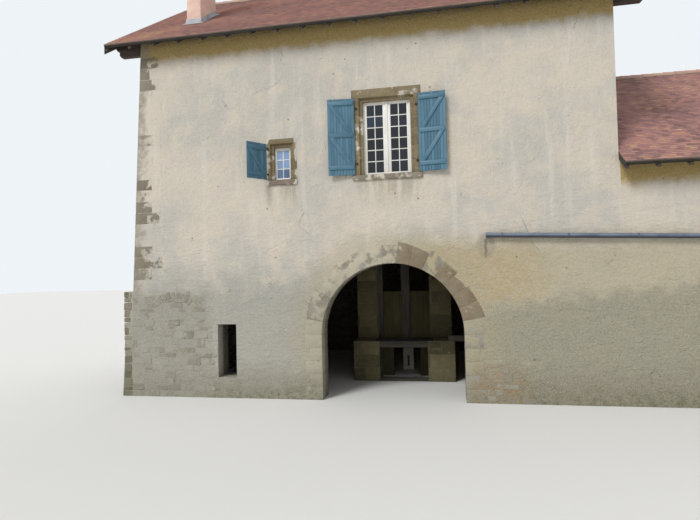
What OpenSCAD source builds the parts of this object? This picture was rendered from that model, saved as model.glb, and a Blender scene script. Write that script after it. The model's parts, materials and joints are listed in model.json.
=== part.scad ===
// Stone watermill house: rendered walls, round arch over the wheel chamber, tiled roof.
// X runs along the front, Y into the building, Z up. Sizes are in millimetres.

/* [Walls] */
// Arch axis to the left corner of the front, at the eave
axis_to_left = 7290; // [6600:10:9000]
// Arch axis to the right corner of the main block
axis_to_right = 5820; // [5000:10:8000]
// Front face to rear face
depth = 10000; // [8500:50:12000]
// Height of the front and rear walls of the main block
wall_top = 10320; // [9400:10:12000]
// Thickness of the walls up to the upper floor, and of the end walls
wall_low = 700; // [650:10:850]
// Thickness of the front and rear walls above the upper floor
wall_up = 600; // [500:10:640]
// Outward lean of the left end wall towards its foot, per metre of height
batter = 48; // [10:1:80]
// Length of the lower wing
wing_len = 4000; // [2500:50:6000]
// How much lower the wing's walls are than the main block's
wing_drop = 4290; // [3600:10:4800]

/* [Footing and quoins] */
// Height of the footing along the left end wall
footing_h = 3070; // [2000:10:4000]
// How far the top of the footing stands out
footing_out = 170; // [80:5:300]
// Height of one corner stone
quoin_h = 330; // [260:5:420]
// Long side of a corner stone
quoin_long = 620; // [450:10:680]
// Short side of a corner stone
quoin_short = 340; // [250:10:430]
// How far dressed stone stands proud of the render
stone_proud = 8; // [2:1:15]

/* [Arch] */
// Radius of the arch
arch_r = 1930; // [1500:10:2100]
// Height at which the arch springs
arch_spring = 1780; // [1200:10:2000]
// Number of arch stones
arch_stones = 17; // [11:2:23]
// Length of the long arch stones, measured outward
stone_long = 500; // [420:10:560]
// Length of the short arch stones, measured outward
stone_short = 360; // [250:10:400]
// Number of stones in each jamb of the arch
jamb_courses = 5; // [3:1:7]
// Width of a joint between arch stones
joint = 12; // [6:1:20]
// Depth of a joint between arch stones
joint_depth = 14; // [6:1:25]

/* [Outlet] */
// Arch axis to the middle of the outlet
outlet_x = 4706; // [4300:5:5200]
// Width of the outlet
outlet_w = 560; // [400:10:800]
// Height of the bottom of the outlet
outlet_z = 580; // [300:10:900]
// Height of the outlet itself
outlet_h = 1510; // [900:10:1900]

/* [Windows] */
// Height of the window sills
sill_z = 6130; // [5900:10:6400]
// Width of the large window between its jambs
big_w = 1310; // [1100:10:1500]
// Height of the large window between sill and lintel
big_h = 2030; // [1600:10:2300]
// Arch axis to the middle of the small window
small_x = 2978; // [2700:5:3600]
// Width of the small window
small_w = 480; // [380:10:600]
// Height of the small window
small_h = 940; // [700:10:1200]
// Arch axis to each rear window
rear_x = 2400; // [1800:10:3200]
// Rebate of the jambs that the shutters close into
rebate = 90; // [60:5:110]
// Depth of that rebate
rebate_depth = 62; // [58:1:80]
// Face width of the large window's jamb stones beyond the rebate
big_jamb = 205; // [140:5:260]
// Face width of the small window's jamb stones beyond the rebate
small_jamb = 120; // [100:5:200]
// Height of the large window's lintel stone
big_lintel = 240; // [150:10:300]
// Height of the small window's lintel
small_lintel = 140; // [80:10:200]
// Depth of the jamb stones into the wall
jamb_depth = 300; // [260:10:380]
// Thickness of the sill stones
sill_h = 140; // [90:5:200]
// How far a sill stands out of the wall
sill_out = 50; // [20:5:90]
// Setback of the window frames from the wall face
frame_back = 150; // [110:5:190]
// Depth of the window frames
frame_t = 60; // [45:1:80]
// Width of frame and leaf stile together at the sides of the large window
stile = 105; // [60:1:130]
// Width of the middle stiles of the large window
middle_stile = 210; // [120:5:240]
// Height of frame and leaf rail together at the top and bottom of the windows
rail = 80; // [50:1:110]
// Width of the stiles of the small windows
small_stile = 60; // [40:1:80]
// Thickness of the glass
glass_t = 5; // [4:0.5:8]

/* [Shutters] */
// Thickness of the shutter boards
board_t = 27; // [20:1:32]
// Thickness of the ledges and braces
ledge_t = 25; // [18:1:27]
// Width of a ledge
ledge_w = 110; // [80:5:140]
// Gap round a closed shutter
shutter_gap = 7; // [6:0.5:10]
// Rebate edge to the hinge pin
pin_side = 60; // [45:1:75]
// Wall face to the centre of the hinge pin
pin_out = 26; // [24:0.5:32]
// Radius of the hinge pins
pin_r = 8; // [6:0.5:10]
// Thickness of metal round a pin
eye_t = 5; // [4:0.5:5]
// Clearance between a pin and its eye
pin_gap = 0.3; // [0.2:0.05:0.5]
// Height of a strap and its eye
strap_h = 42; // [30:1:60]
// Thickness of a strap
strap_t = 6; // [6:0.5:8]
// How far the small shutter is open at rest, in degrees from closed
small_open = 127; // [90:1:170]
// How far the large window's shutters are open at rest, in degrees from closed
big_open = 174; // [150:1:178]

/* [Floor] */
// Height of the top of the upper floor
floor_z = 5250; // [5100:10:5500]
// Thickness of the floor boards
floor_t = 50; // [30:1:70]
// Depth of the joists
joist_h = 180; // [140:5:240]
// Width of the joists
joist_w = 100; // [70:5:140]
// Spacing of the joists
joist_step = 620; // [500:10:800]
// Side of the square main floor beams
beam_s = 300; // [240:10:360]
// How far a beam or purlin end is built into a wall
bearing = 200; // [120:10:300]

/* [Sluice frame] */
// Front of the stone blocks behind the front face of the wall
block_y = 2600; // [2200:10:3200]
// Middle of the bay between the blocks, right of the arch axis
bay_x = 88; // [60:1:110]
// Clear width between the blocks
bay_w = 1550; // [1300:2:1700]
// Width of a block
block_w = 825; // [700:5:900]
// Height of a block
block_h = 1265; // [1100:5:1400]
// Front of the blocks to the front of the piers that stand on them
deck_d = 900; // [700:10:1200]
// Width of a pier
pier_w = 695; // [600:5:750]
// Depth of a pier
pier_d = 600; // [450:10:800]
// Middle of the bay between the piers, right of the arch axis
upper_x = 53; // [30:1:75]
// Clear width between the piers
upper_w = 1722; // [1680:2:1800]
// Height of the beam at the front of the deck
cross_h = 150; // [120:5:200]
// Depth of that beam, front to back
cross_d = 240; // [180:5:300]
// Setback of the deck and its beam behind the front of the blocks
deck_in = 20; // [5:5:60]
// Thickness of the deck boards
deck_t = 50; // [35:1:70]
// Middle of the middle post, right of the arch axis
post_x = 119; // [60:1:180]
// Width of the middle post
post_w = 284; // [220:2:320]
// Width of the side post
side_post_w = 170; // [120:5:200]
// Depth of the posts
post_d = 220; // [160:5:300]
// Width of the middle post's foot
foot_w = 334; // [290:2:380]
// How far that foot reaches out at the left of the post
foot_side = 90; // [20:5:120]
// How far that foot reaches out in front of the post
foot_out = 80; // [20:5:120]
// Height of the foot rails of the posts and upper panels
rail_h = 90; // [60:5:120]
// Height of the panels above the deck
panel_h = 1550; // [1200:10:1800]
// Thickness of the panels and boards
panel_t = 60; // [40:1:80]
// Setback of the panels behind the front of the posts
panel_in = 70; // [30:5:90]
// Width of the left panel below the deck
low_left_w = 370; // [300:5:420]
// Width of the right panel below the deck
low_right_w = 300; // [200:5:340]
// Middle of the hanging board, right of the arch axis
hang_x = 228; // [150:2:300]
// Width of the hanging board
hang_w = 332; // [280:2:360]
// Height of the hanging board
hang_h = 712; // [600:2:800]
// Width of the slot in the hanging board
slot_w = 60; // [40:2:90]
// Height of the slot in the hanging board
slot_h = 316; // [200:2:400]
// Top of the board down to its slot
slot_down = 270; // [150:5:320]
// Height of the sill beam
sill_beam_h = 90; // [60:5:140]
// Height of the side beam
side_beam_h = 175; // [140:5:220]
// How far the side beam lies on the right block
side_beam_lap = 195; // [100:5:300]
// How far the deck and its beams are let into the blocks
lap = 150; // [80:5:250]

/* [Roof] */
// Slope of the roofs, in degrees
pitch = 35; // [30:0.5:40]
// How far the eaves stand out
eave_out = 500; // [420:10:550]
// How far the rafter tails stay behind the eave
tail_in = 30; // [10:5:60]
// How far the roof of the main block runs past its end walls
verge_out = 880; // [600:10:1000]
// How far the roof of the wing runs past its end wall
wing_verge = 350; // [250:10:600]
// Thickness of tiles, battens and boarding together
roof_t = 70; // [50:1:100]
// Depth of the rafters
rafter_h = 120; // [100:5:140]
// Width of the rafters
rafter_w = 90; // [60:5:120]
// Spacing of the rafters
rafter_step = 730; // [600:10:900]
// Height of the wall plates
plate_h = 200; // [180:5:230]
// Width of the wall plates
plate_w = 150; // [120:5:200]
// Wall face to the wall plate
plate_in = 60; // [30:5:90]
// Height of the bolsters under the ends of the wall plates
bolster_h = 190; // [140:5:200]
// How far a bolster stays behind the end of its plate
bolster_in = 110; // [60:5:200]
// Width of the purlins
purlin_w = 180; // [140:5:220]
// Height of the purlins
purlin_h = 220; // [180:5:260]
// Cut-off lower corner at the ends of the purlins and bolsters
end_cut = 60; // [20:5:100]
// How deep the rafters are notched over the purlins
notch = 30; // [15:1:40]
// Depth of the barge boards
barge_h = 190; // [150:5:240]
// Thickness of the barge boards
barge_t = 28; // [20:1:40]
// Radius of the ridge tiles
ridge_r = 120; // [100:5:160]
// Thickness of the ridge tiles
ridge_t = 16; // [12:1:25]

/* [Chimney] */
// Arch axis to the middle of the chimney
chimney_x = 6195; // [5200:5:6600]
// Front of the chimney behind the front face of the wall
chimney_y = 1230; // [900:10:1700]
// Width of the chimney at its foot
chimney_w = 500; // [420:10:700]
// Depth of the chimney at its foot
chimney_d = 1150; // [800:10:1400]
// Height of the top of the chimney above the ridge
chimney_over = 800; // [500:10:1200]
// How much the chimney narrows on each side up to its cap
chimney_taper = 40; // [0:5:60]
// Height of the cap course
cap_h = 110; // [70:5:160]
// How far the cap course stands out
cap_out = 50; // [20:5:80]
// Wall thickness round the flue
flue_wall = 130; // [100:5:160]
// Depth of the flue that is open at the top
flue_depth = 1200; // [600:50:1500]
// Width of the lead flashing round the foot
flash_w = 90; // [50:5:140]
// Height of its upstand on the chimney
upstand_h = 150; // [80:5:220]
// Thickness of the flashing
flash_t = 12; // [6:1:20]

/* [Drain pipe] */
// Diameter of the pipe
pipe_d = 125; // [90:1:160]
// Depth of the open end
pipe_bore = 90; // [40:5:200]
// Wall of the pipe
pipe_wall = 6; // [4:0.5:10]
// Arch axis to the open end of the pipe
pipe_x = 2530; // [2300:10:3200]
// Height of the pipe's middle at its open end
pipe_z = 4370; // [4100:10:4600]
// Fall of the pipe towards the right, in degrees
pipe_fall = 2.3; // [0:0.1:3]
// Gap between the pipe and the wall
pipe_gap = 25; // [10:1:60]
// Length of the collar at the open end
collar_l = 130; // [80:5:200]
// Thickness of the collar
collar_t = 10; // [5:1:18]
// Number of pipe brackets
bracket_n = 5; // [3:1:7]
// Ends of the pipe to the outer brackets
bracket_end = 400; // [200:10:600]
// Width of a bracket's band
band_w = 35; // [20:1:60]
// Thickness of a bracket's band
band_t = 5; // [3:0.5:8]

/* [Hidden] */
$fn = 64;

// Inner faces of the walls, and the levels of the floor
left_in = -axis_to_left + wall_low;
right_in = axis_to_right - wall_low;
wing_out = axis_to_right + wing_len;
wing_in = wing_out - wall_low;
ledge_z = floor_z - floor_t - joist_h;
ridge_y = depth / 2;
bed = 0.1;

// Roof surfaces: the boarding's underside passes a fixed height over each wall top
rise = tan(pitch);
plumb = 1 / cos(pitch);
seat = plate_h + rafter_h * plumb - notch - plate_in * rise;
wing_top = wall_top - wing_drop;
function under(y, top) = top + seat + min(y, depth - y) * rise;
function rafter_foot(y, top) = under(y, top) - rafter_h * plumb;
verge_left = -axis_to_left - verge_out;
verge_right = axis_to_right + verge_out;
wing_verge_x = wing_out + wing_verge;
ridge_top = under(ridge_y, wall_top) + roof_t * plumb;

// Shutters: leaf sizes and hinge places
big_leaf = big_w / 2 + rebate - shutter_gap * 1.5;
small_leaf = small_w + 2 * rebate - 2 * shutter_gap;
big_pin_x = big_w / 2 + rebate + pin_side;
small_pin_x = small_x + small_w / 2 + rebate + pin_side;
shutter_z = sill_z + shutter_gap + 3;
big_leaf_h = big_h + rebate - 2 * shutter_gap - 3;
small_leaf_h = small_h + rebate - 2 * shutter_gap - 3;
leaf_edge = pin_side + shutter_gap;
eye_r = pin_r + pin_gap + eye_t;
strap_face = eye_r - 1;
strap_at = 0.14;
ledge_in = 30;
shank = 14;

// Sluice frame: blocks in front, piers and posts in one line behind the deck
bay_left = bay_x - bay_w / 2;
bay_right = bay_x + bay_w / 2;
pier_left = upper_x - upper_w / 2;
pier_right = upper_x + upper_w / 2;
pier_y = block_y + deck_d;
pier_back = pier_y + pier_d;
post_left = post_x - post_w / 2;
post_right = post_x + post_w / 2;
post_back = pier_y + post_d;
foot_left = post_left - foot_side;
cross_y = block_y + deck_in;
cross_z = block_h - deck_t - cross_h;
beam_z = ledge_z - beam_s;
frame_y = pier_y + panel_in;
hang_y = cross_y + cross_d / 2 - panel_t / 2;

// The part stands on the middle of the box that holds it
shutter_reach = pin_out + (leaf_edge + small_leaf) * sin(180 - small_open)
    + (strap_face + board_t) * abs(cos(small_open));
mid_x = (verge_left + wing_verge_x) / 2;
mid_y = (depth + eave_out - max(shutter_reach, eave_out)) / 2;

module place() translate([-mid_x, -mid_y, 0]) children();

// A flat outline in X and Z made into a slab from y0 to y1
module slab(y0, y1) translate([0, y1, 0]) rotate([90, 0, 0]) linear_extrude(y1 - y0) children();

// A flat outline in Y and Z made into a bar from x0 to x1
module bar(x0, x1) translate([x0, 0, 0]) rotate([90, 0, 90]) linear_extrude(x1 - x0) children();

module rect(x0, x1, z0, z1) translate([x0, z0]) square([x1 - x0, z1 - z0]);

module block(x0, x1, y0, y1, z0, z1)
    translate([x0, y0, z0]) cube([x1 - x0, y1 - y0, z1 - z0]);

// The same thing on the rear side
module behind() translate([0, depth, 0]) mirror([0, 1, 0]) children();

// Walls

function corner_x(z) = -axis_to_left - batter * (wall_top - z) / 1000;

module leaning_slab(z0, z1, x1, y0, y1)
    slab(y0, y1) polygon([[corner_x(z0), z0], [x1, z0], [x1, z1], [corner_x(z1), z1]]);

// Outline of an end wall under a roof that starts at wall height top
module gable_outline(top) {
    step = plate_in + plate_w;
    polygon([[0, 0], [depth, 0], [depth, top], [depth - step, top],
        [depth - step, under(step, top)], [ridge_y, under(ridge_y, top)],
        [step, under(step, top)], [step, top], [0, top]]);
}

module left_gable_wall() color("wheat") place() difference() {
    intersection() {
        leaning_slab(0, ridge_top, left_in, 0, depth);
        bar(corner_x(0) - 1, left_in + 1) gable_outline(wall_top);
    }
    main_purlins();
    main_rafters();
    behind() main_rafters();
    floor_beam_bars();
    quoin_stones(0, bed);
}

module right_gable_wall() color("wheat") place() difference() {
    bar(right_in, axis_to_right) gable_outline(wall_top);
    main_purlins();
    main_rafters();
    behind() main_rafters();
    wing_purlins();
    floor_beam_bars();
    side_beam_bar();
}

module front_wall_left() color("wheat") place() slab(0, wall_low) difference() {
    rect(left_in, -arch_bay, 0, ledge_z);
    rect(-outlet_x - outlet_w / 2, -outlet_x + outlet_w / 2, outlet_z, outlet_z + outlet_h);
}

module front_wall_arch() color("wheat") place() slab(0, wall_low) difference() {
    rect(-arch_bay, arch_bay, 0, ledge_z);
    arch_stones_outline();
}

module front_wall_right() color("wheat") place()
    slab(0, wall_low) rect(arch_bay, right_in, 0, ledge_z);

module front_wall_upper() color("wheat") place() difference() {
    slab(0, wall_up) rect(left_in, right_in, ledge_z, wall_top);
    big_window_hole();
    small_window_hole(-small_x);
}

module rear_wall_lower() color("wheat") place() behind()
    slab(0, wall_low) rect(left_in, right_in, 0, ledge_z);

module rear_wall_upper() color("wheat") place() behind() difference() {
    slab(0, wall_up) rect(left_in, right_in, ledge_z, wall_top);
    small_window_hole(-rear_x);
    small_window_hole(rear_x);
}

module wing_front_wall() color("wheat") place()
    slab(0, wall_low) rect(axis_to_right, wing_in, 0, wing_top);

module wing_rear_wall() color("wheat") place() behind()
    slab(0, wall_low) rect(axis_to_right, wing_in, 0, wing_top);

module wing_end_wall() color("wheat") place() difference() {
    bar(wing_in, wing_out) gable_outline(wing_top);
    wing_purlins();
    wing_rafters();
    behind() wing_rafters();
}

module left_footing() color("gray") place() slab(0, depth) polygon([[corner_x(0), 0],
    [corner_x(footing_h), footing_h], [corner_x(footing_h) - footing_out, footing_h],
    [corner_x(0) - footing_out - 60, 0]]);

// Corner stones, turned by turns along the front and along the end, with room round them for a bed
quoin_rows = floor((wall_top - footing_h) / quoin_h);
module quoin_stones(proud, room) for (i = [0 : quoin_rows - 1]) {
    z0 = footing_h + i * quoin_h;
    along = i % 2 == 0 ? quoin_long : quoin_short;
    back = i % 2 == 0 ? quoin_short : quoin_long;
    translate([-proud, 0, 0]) leaning_slab(z0 + joint - room, z0 + quoin_h + room,
        -axis_to_left + along + proud + room, -proud - room, back + room);
}

module corner_quoins() color("tan") place() quoin_stones(stone_proud, 0);

// Arch

arch_bay = arch_r + stone_long + 270;
arch_turn = 180 / arch_stones;
jamb_h = arch_spring / jamb_courses;

module arch_hole() {
    translate([0, arch_spring]) circle(arch_r, $fn = 128);
    rect(-arch_r, arch_r, 0, arch_spring);
}

// Arch stones and jamb stones, long and short by turns
module arch_stones_outline() {
    translate([0, arch_spring]) {
        intersection() {
            circle(arch_r + stone_short, $fn = 128);
            rect(-2 * arch_r, 2 * arch_r, 0, 2 * arch_r);
        }
        for (i = [0 : 2 : arch_stones - 1]) polygon([[0, 0],
            (arch_r + stone_long) * [cos(i * arch_turn), sin(i * arch_turn)],
            (arch_r + stone_long) * [cos((i + 1) * arch_turn), sin((i + 1) * arch_turn)]]);
    }
    for (i = [0 : jamb_courses - 1]) {
        reach = arch_r + (i % 2 == 0 ? stone_long : stone_short);
        rect(-reach, reach, i * jamb_h, (i + 1) * jamb_h);
    }
}

module arch_joints() {
    translate([0, arch_spring]) for (i = [0 : arch_stones])
        rotate(i * arch_turn) rect(0, 2 * arch_r, -joint / 2, joint / 2);
    for (i = [1 : jamb_courses - 1])
        rect(-2 * arch_r, 2 * arch_r, i * jamb_h - joint / 2, i * jamb_h + joint / 2);
}

module arch_ring() color("tan") place() difference() {
    slab(-stone_proud, wall_low) difference() {
        arch_stones_outline();
        arch_hole();
    }
    slab(-stone_proud - 1, joint_depth - stone_proud) arch_joints();
}

// Windows

module window_hole(x, w, h, jamb, lintel, reveal) {
    outer = w / 2 + rebate + jamb;
    slab(-1, jamb_depth) rect(x - outer, x + outer, sill_z - sill_h, sill_z + h + rebate + lintel);
    slab(jamb_depth - 1, wall_up + 1)
        rect(x - w / 2 - reveal, x + w / 2 + reveal, sill_z, sill_z + h + reveal);
}
module big_window_hole() window_hole(0, big_w, big_h, big_jamb, big_lintel, 70);
module small_window_hole(x) window_hole(x, small_w, small_h, small_jamb, small_lintel, 50);

module surround(x, w, h, jamb, lintel) {
    outer = w / 2 + rebate + jamb;
    difference() {
        slab(-stone_proud, jamb_depth) difference() {
            rect(x - outer, x + outer, sill_z, sill_z + h + rebate + lintel);
            rect(x - w / 2, x + w / 2, sill_z - 1, sill_z + h);
        }
        slab(-stone_proud - 1, rebate_depth)
            rect(x - w / 2 - rebate, x + w / 2 + rebate, sill_z - 1, sill_z + h + rebate);
    }
}

module sill(x, w, jamb) {
    outer = w / 2 + rebate + jamb;
    block(x - outer, x + outer, -sill_out, jamb_depth, sill_z - sill_h, sill_z);
}

module big_window_surround() color("tan") place() difference() {
    surround(0, big_w, big_h, big_jamb, big_lintel);
    big_pintles(false);
}

module small_window_surrounds() color("peru") place() {
    difference() {
        surround(-small_x, small_w, small_h, small_jamb, small_lintel);
        small_pintles(false);
    }
    behind() for (x = [-rear_x, rear_x]) surround(x, small_w, small_h, small_jamb, small_lintel);
}

module window_sills() color("gray") place() {
    sill(0, big_w, big_jamb);
    sill(-small_x, small_w, small_jamb);
    behind() for (x = [-rear_x, rear_x]) sill(x, small_w, small_jamb);
}

// Outlines of the glass: two leaves in the large window, one in the small
module big_panes() for (side = [-1, 1]) {
    inner = side * middle_stile / 2;
    outer = side * (big_w / 2 - stile);
    rect(min(inner, outer), max(inner, outer), sill_z + rail, sill_z + big_h - rail);
}
module small_pane(x) rect(x - small_w / 2 + small_stile, x + small_w / 2 - small_stile,
    sill_z + rail, sill_z + small_h - rail);

module big_window_frame() color("white") place() slab(frame_back, frame_back + frame_t)
    difference() {
        rect(-big_w / 2, big_w / 2, sill_z, sill_z + big_h);
        big_panes();
    }

module small_frame(x) slab(frame_back, frame_back + frame_t) difference() {
    rect(x - small_w / 2, x + small_w / 2, sill_z, sill_z + small_h);
    small_pane(x);
}

module small_window_frames() color("white") place() {
    small_frame(-small_x);
    behind() for (x = [-rear_x, rear_x]) small_frame(x);
}

glass_y = frame_back + (frame_t - glass_t) / 2;
module window_glass() color("lightblue") place() {
    slab(glass_y, glass_y + glass_t) big_panes();
    slab(glass_y, glass_y + glass_t) small_pane(-small_x);
    behind() for (x = [-rear_x, rear_x]) slab(glass_y, glass_y + glass_t) small_pane(x);
}

// Shutters, drawn closed with the hinge pin at the origin and the leaf towards +X

// Outline of the ledges, and of the braces that rise from the hinge side between them
module ledge_outline(x0, x1, h, ledges) {
    for (z = ledges) rect(x0, x1, z * h - ledge_w / 2, z * h + ledge_w / 2);
    for (i = [1 : len(ledges) - 1]) {
        foot = ledges[i - 1] * h + ledge_w / 2 - 1;
        head = ledges[i] * h - ledge_w / 2 + 1;
        cut = ledge_w * 1.15;
        polygon([[x0 + 10, foot], [x0 + 10 + cut, foot], [x1 - 10, head], [x1 - 10 - cut, head]]);
    }
}

module shutter(w, h, ledges) {
    x0 = leaf_edge;
    x1 = leaf_edge + w;
    back = strap_face + board_t;
    block(x0, x1, strap_face, back, 0, h);
    slab(back - 1, back + ledge_t) ledge_outline(x0 + ledge_in, x1 - ledge_in, h, ledges);
    for (z = [strap_at, 1 - strap_at]) translate([0, 0, z * h]) difference() {
        union() {
            cylinder(r = eye_r, h = strap_h);
            block(0, x0 + w * 0.7, strap_face - strap_t, strap_face, 0, strap_h);
        }
        translate([0, 0, -1]) cylinder(r = pin_r + pin_gap, h = strap_h + 2);
    }
}

module small_shutter() color("steelblue") place()
    translate([-small_pin_x, -pin_out, shutter_z]) rotate([0, 0, -small_open])
        shutter(small_leaf, small_leaf_h, [0.14, 0.86]);

module left_shutter() color("cadetblue") place()
    translate([-big_pin_x, -pin_out, shutter_z]) rotate([0, 0, -big_open])
        shutter(big_leaf, big_leaf_h, [0.1, 0.52, 0.94]);

module right_shutter() color("cadetblue") place()
    translate([big_pin_x, -pin_out, shutter_z]) rotate([0, 0, big_open]) mirror([1, 0, 0])
        shutter(big_leaf, big_leaf_h, [0.1, 0.52, 0.94]);

// Hinge pins on square shanks built into the jamb stones; without pins only the shanks
module pintles(x, h, with_pins) for (z = [strap_at, 1 - strap_at]) {
    top = shutter_z + z * h - pin_gap;
    block(x - shank / 2, x + shank / 2, -pin_out - pin_r, 90, top - shank, top);
    if (with_pins) translate([x, -pin_out, top - shank])
        cylinder(r = pin_r, h = shank + strap_h + 6);
}
module big_pintles(with_pins) for (side = [-1, 1]) pintles(side * big_pin_x, big_leaf_h, with_pins);
module small_pintles(with_pins) pintles(-small_pin_x, small_leaf_h, with_pins);

module shutter_pintles() color("dimgray") place() {
    big_pintles(true);
    small_pintles(true);
}

// Floor

joist_n = floor((right_in - left_in - joist_w) / joist_step) + 1;
joist_pitch = (right_in - left_in - joist_w) / joist_n;

module upper_floor() color("burlywood") place()
    block(left_in, right_in, wall_up, depth - wall_up, floor_z - floor_t, floor_z);

module floor_joists() color("saddlebrown") place() for (i = [0 : joist_n - 1]) {
    x = left_in + joist_w / 2 + (i + 0.5) * joist_pitch;
    block(x - joist_w / 2, x + joist_w / 2, wall_up, depth - wall_up, ledge_z, ledge_z + joist_h);
}

module floor_beam_bars() for (y = [pier_y + beam_s / 2, depth - block_y])
    block(left_in - bearing, right_in + bearing, y - beam_s / 2, y + beam_s / 2, beam_z, ledge_z);

module floor_beams() color("saddlebrown") place() floor_beam_bars();

// Sluice frame: stone blocks and piers, with a boarded deck, posts and panels between them

module cross_beam_bar() block(bay_left - lap, bay_right + lap, cross_y, cross_y + cross_d,
    cross_z, cross_z + cross_h);

module deck_boards() block(bay_left - lap, bay_right + lap, cross_y, post_back, block_h - deck_t,
    block_h);

// Bearer under the rear of the deck, below the posts
module deck_bearer_bar() block(bay_left - lap, bay_right + lap, pier_y - 60, post_back, cross_z,
    block_h - deck_t);

// A low block with a pier on its rear part; side is -1 for the left one and 1 for the right
module pier(edge, inner, side) difference() {
    union() {
        block(min(edge, edge + side * block_w), max(edge, edge + side * block_w),
            block_y, pier_back, 0, block_h);
        block(min(inner, inner + side * pier_w), max(inner, inner + side * pier_w),
            pier_y, pier_back, block_h - 1, beam_z);
    }
    cross_beam_bar();
    deck_boards();
    deck_bearer_bar();
}

module sluice_piers() color("gray") place() {
    pier(bay_left, pier_left, -1);
    pier(bay_right, pier_right, 1);
}

// Front beam and bearer of the deck, and the sill beam on the bed below them
module sluice_beams() color("dimgray") place() {
    cross_beam_bar();
    deck_bearer_bar();
    block(bay_left, bay_right, cross_y, cross_y + cross_d, 0, sill_beam_h);
}

module sluice_deck() color("dimgray") place() deck_boards();

// Beam from the top of the right block to the right end wall
module side_beam_bar() block(bay_right + block_w - side_beam_lap, right_in + bearing, cross_y,
    cross_y + side_beam_h, block_h, block_h + side_beam_h);
module side_beam() color("dimgray") place() side_beam_bar();

// Middle post with a wide foot, and side post against the left pier
module sluice_posts() color("dimgray") place() {
    block(post_left, post_right, pier_y, post_back, block_h, beam_z);
    block(foot_left, foot_left + foot_w, pier_y - foot_out, post_back, block_h, block_h + rail_h);
    block(pier_left, pier_left + side_post_w, pier_y, post_back, block_h, beam_z);
}

// One upper panel between two uprights, with its foot rail; the rail may end short of the panel
module upper_panel(x0, x1, rail_x1) {
    rail_top = block_h + rail_h;
    top = block_h + panel_h;
    slab(frame_y, frame_y + panel_t) polygon([[x0, block_h], [rail_x1, block_h],
        [rail_x1, rail_top], [x1, rail_top], [x1, top], [x0, top]]);
    block(x0, rail_x1, pier_y, frame_y + 1, block_h, rail_top);
}

module sluice_panels() color("rosybrown") place() {
    upper_panel(pier_left + side_post_w, post_left, foot_left);
    upper_panel(post_right, pier_right, pier_right);
    block(bay_left, bay_left + low_left_w, frame_y, frame_y + panel_t, 0, cross_z);
    block(bay_right - low_right_w, bay_right, frame_y, frame_y + panel_t, 0, cross_z);
}

module hanging_board() color("dimgray") place() slab(hang_y, hang_y + panel_t) difference() {
    rect(hang_x - hang_w / 2, hang_x + hang_w / 2, cross_z - hang_h, cross_z);
    rect(hang_x - slot_w / 2, hang_x + slot_w / 2, cross_z - slot_down - slot_h,
        cross_z - slot_down);
}

// Roof timbers

// A timber seen from the front, with its lower corners cut off
module purlin_end(x0, x1, z0, z1) polygon([[x0 + end_cut, z0], [x1 - end_cut, z0],
    [x1, z0 + end_cut], [x1, z1], [x0, z1], [x0, z0 + end_cut]]);

module purlin_set(x0, x1, top) {
    ridge_foot = rafter_foot(ridge_y - purlin_w / 2, top) + notch;
    mid_y0 = ridge_y * 0.52 - purlin_w / 2;
    mid_top = rafter_foot(mid_y0, top) + notch;
    slab(ridge_y - purlin_w / 2, ridge_y + purlin_w / 2)
        purlin_end(x0, x1, ridge_foot - purlin_h, ridge_foot);
    for (side = [0, 1]) translate([0, side * depth, 0]) mirror([0, side, 0]) {
        slab(plate_in, plate_in + plate_w) purlin_end(x0, x1, top, top + plate_h);
        slab(mid_y0, mid_y0 + purlin_w) purlin_end(x0, x1, mid_top - purlin_h, mid_top);
    }
}

// Bolsters under the ends of the wall plates, at the left and at the right end wall
module bolster(x0, x1) slab(plate_in, plate_in + plate_w) purlin_end(x0, x1, wall_top - bolster_h,
    wall_top + 1);

module main_purlins() {
    purlin_set(verge_left + barge_t, verge_right - barge_t, wall_top);
    for (side = [0, 1]) translate([0, side * depth, 0]) mirror([0, side, 0]) {
        bolster(verge_left + barge_t + bolster_in, -axis_to_left + bearing);
        bolster(axis_to_right - bearing, verge_right - barge_t - bolster_in);
    }
}
module wing_purlins() purlin_set(axis_to_right - bearing, wing_verge_x - barge_t, wing_top);

module purlins() color("saddlebrown") place() {
    main_purlins();
    wing_purlins();
}

// Rafters of one slope between x0 and x1, spread evenly
module rafter_set(x0, x1, top) {
    count = round((x1 - x0 - rafter_w) / rafter_step);
    spread = (x1 - x0 - rafter_w) / count;
    tail = -eave_out + tail_in;
    for (i = [0 : count]) bar(x0 + i * spread, x0 + i * spread + rafter_w)
        polygon([[tail, rafter_foot(tail, top)], [ridge_y, rafter_foot(ridge_y, top)],
            [ridge_y, under(ridge_y, top)], [tail, under(tail, top)]]);
}
module main_rafters() rafter_set(verge_left + barge_t, verge_right - barge_t, wall_top);
module wing_rafters() rafter_set(axis_to_right, wing_verge_x - barge_t, wing_top);

module notched_rafters() difference() {
    union() {
        main_rafters();
        wing_rafters();
    }
    main_purlins();
    wing_purlins();
}

module rafters_front() color("sienna") place() notched_rafters();
module rafters_rear() color("sienna") place() behind() notched_rafters();

// Roof covering

module roof_slab(x0, x1, top) bar(x0, x1) polygon([[-eave_out, under(-eave_out, top)],
    [ridge_y, under(ridge_y, top)], [ridge_y, under(ridge_y, top) + roof_t * plumb],
    [-eave_out, under(-eave_out, top) + roof_t * plumb]]);

module roof_slabs() {
    roof_slab(verge_left, verge_right, wall_top);
    roof_slab(axis_to_right, wing_verge_x, wing_top);
}

module roof_front() color("indianred") place() roof_slabs();
module roof_rear() color("indianred") place() behind() roof_slabs();

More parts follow.
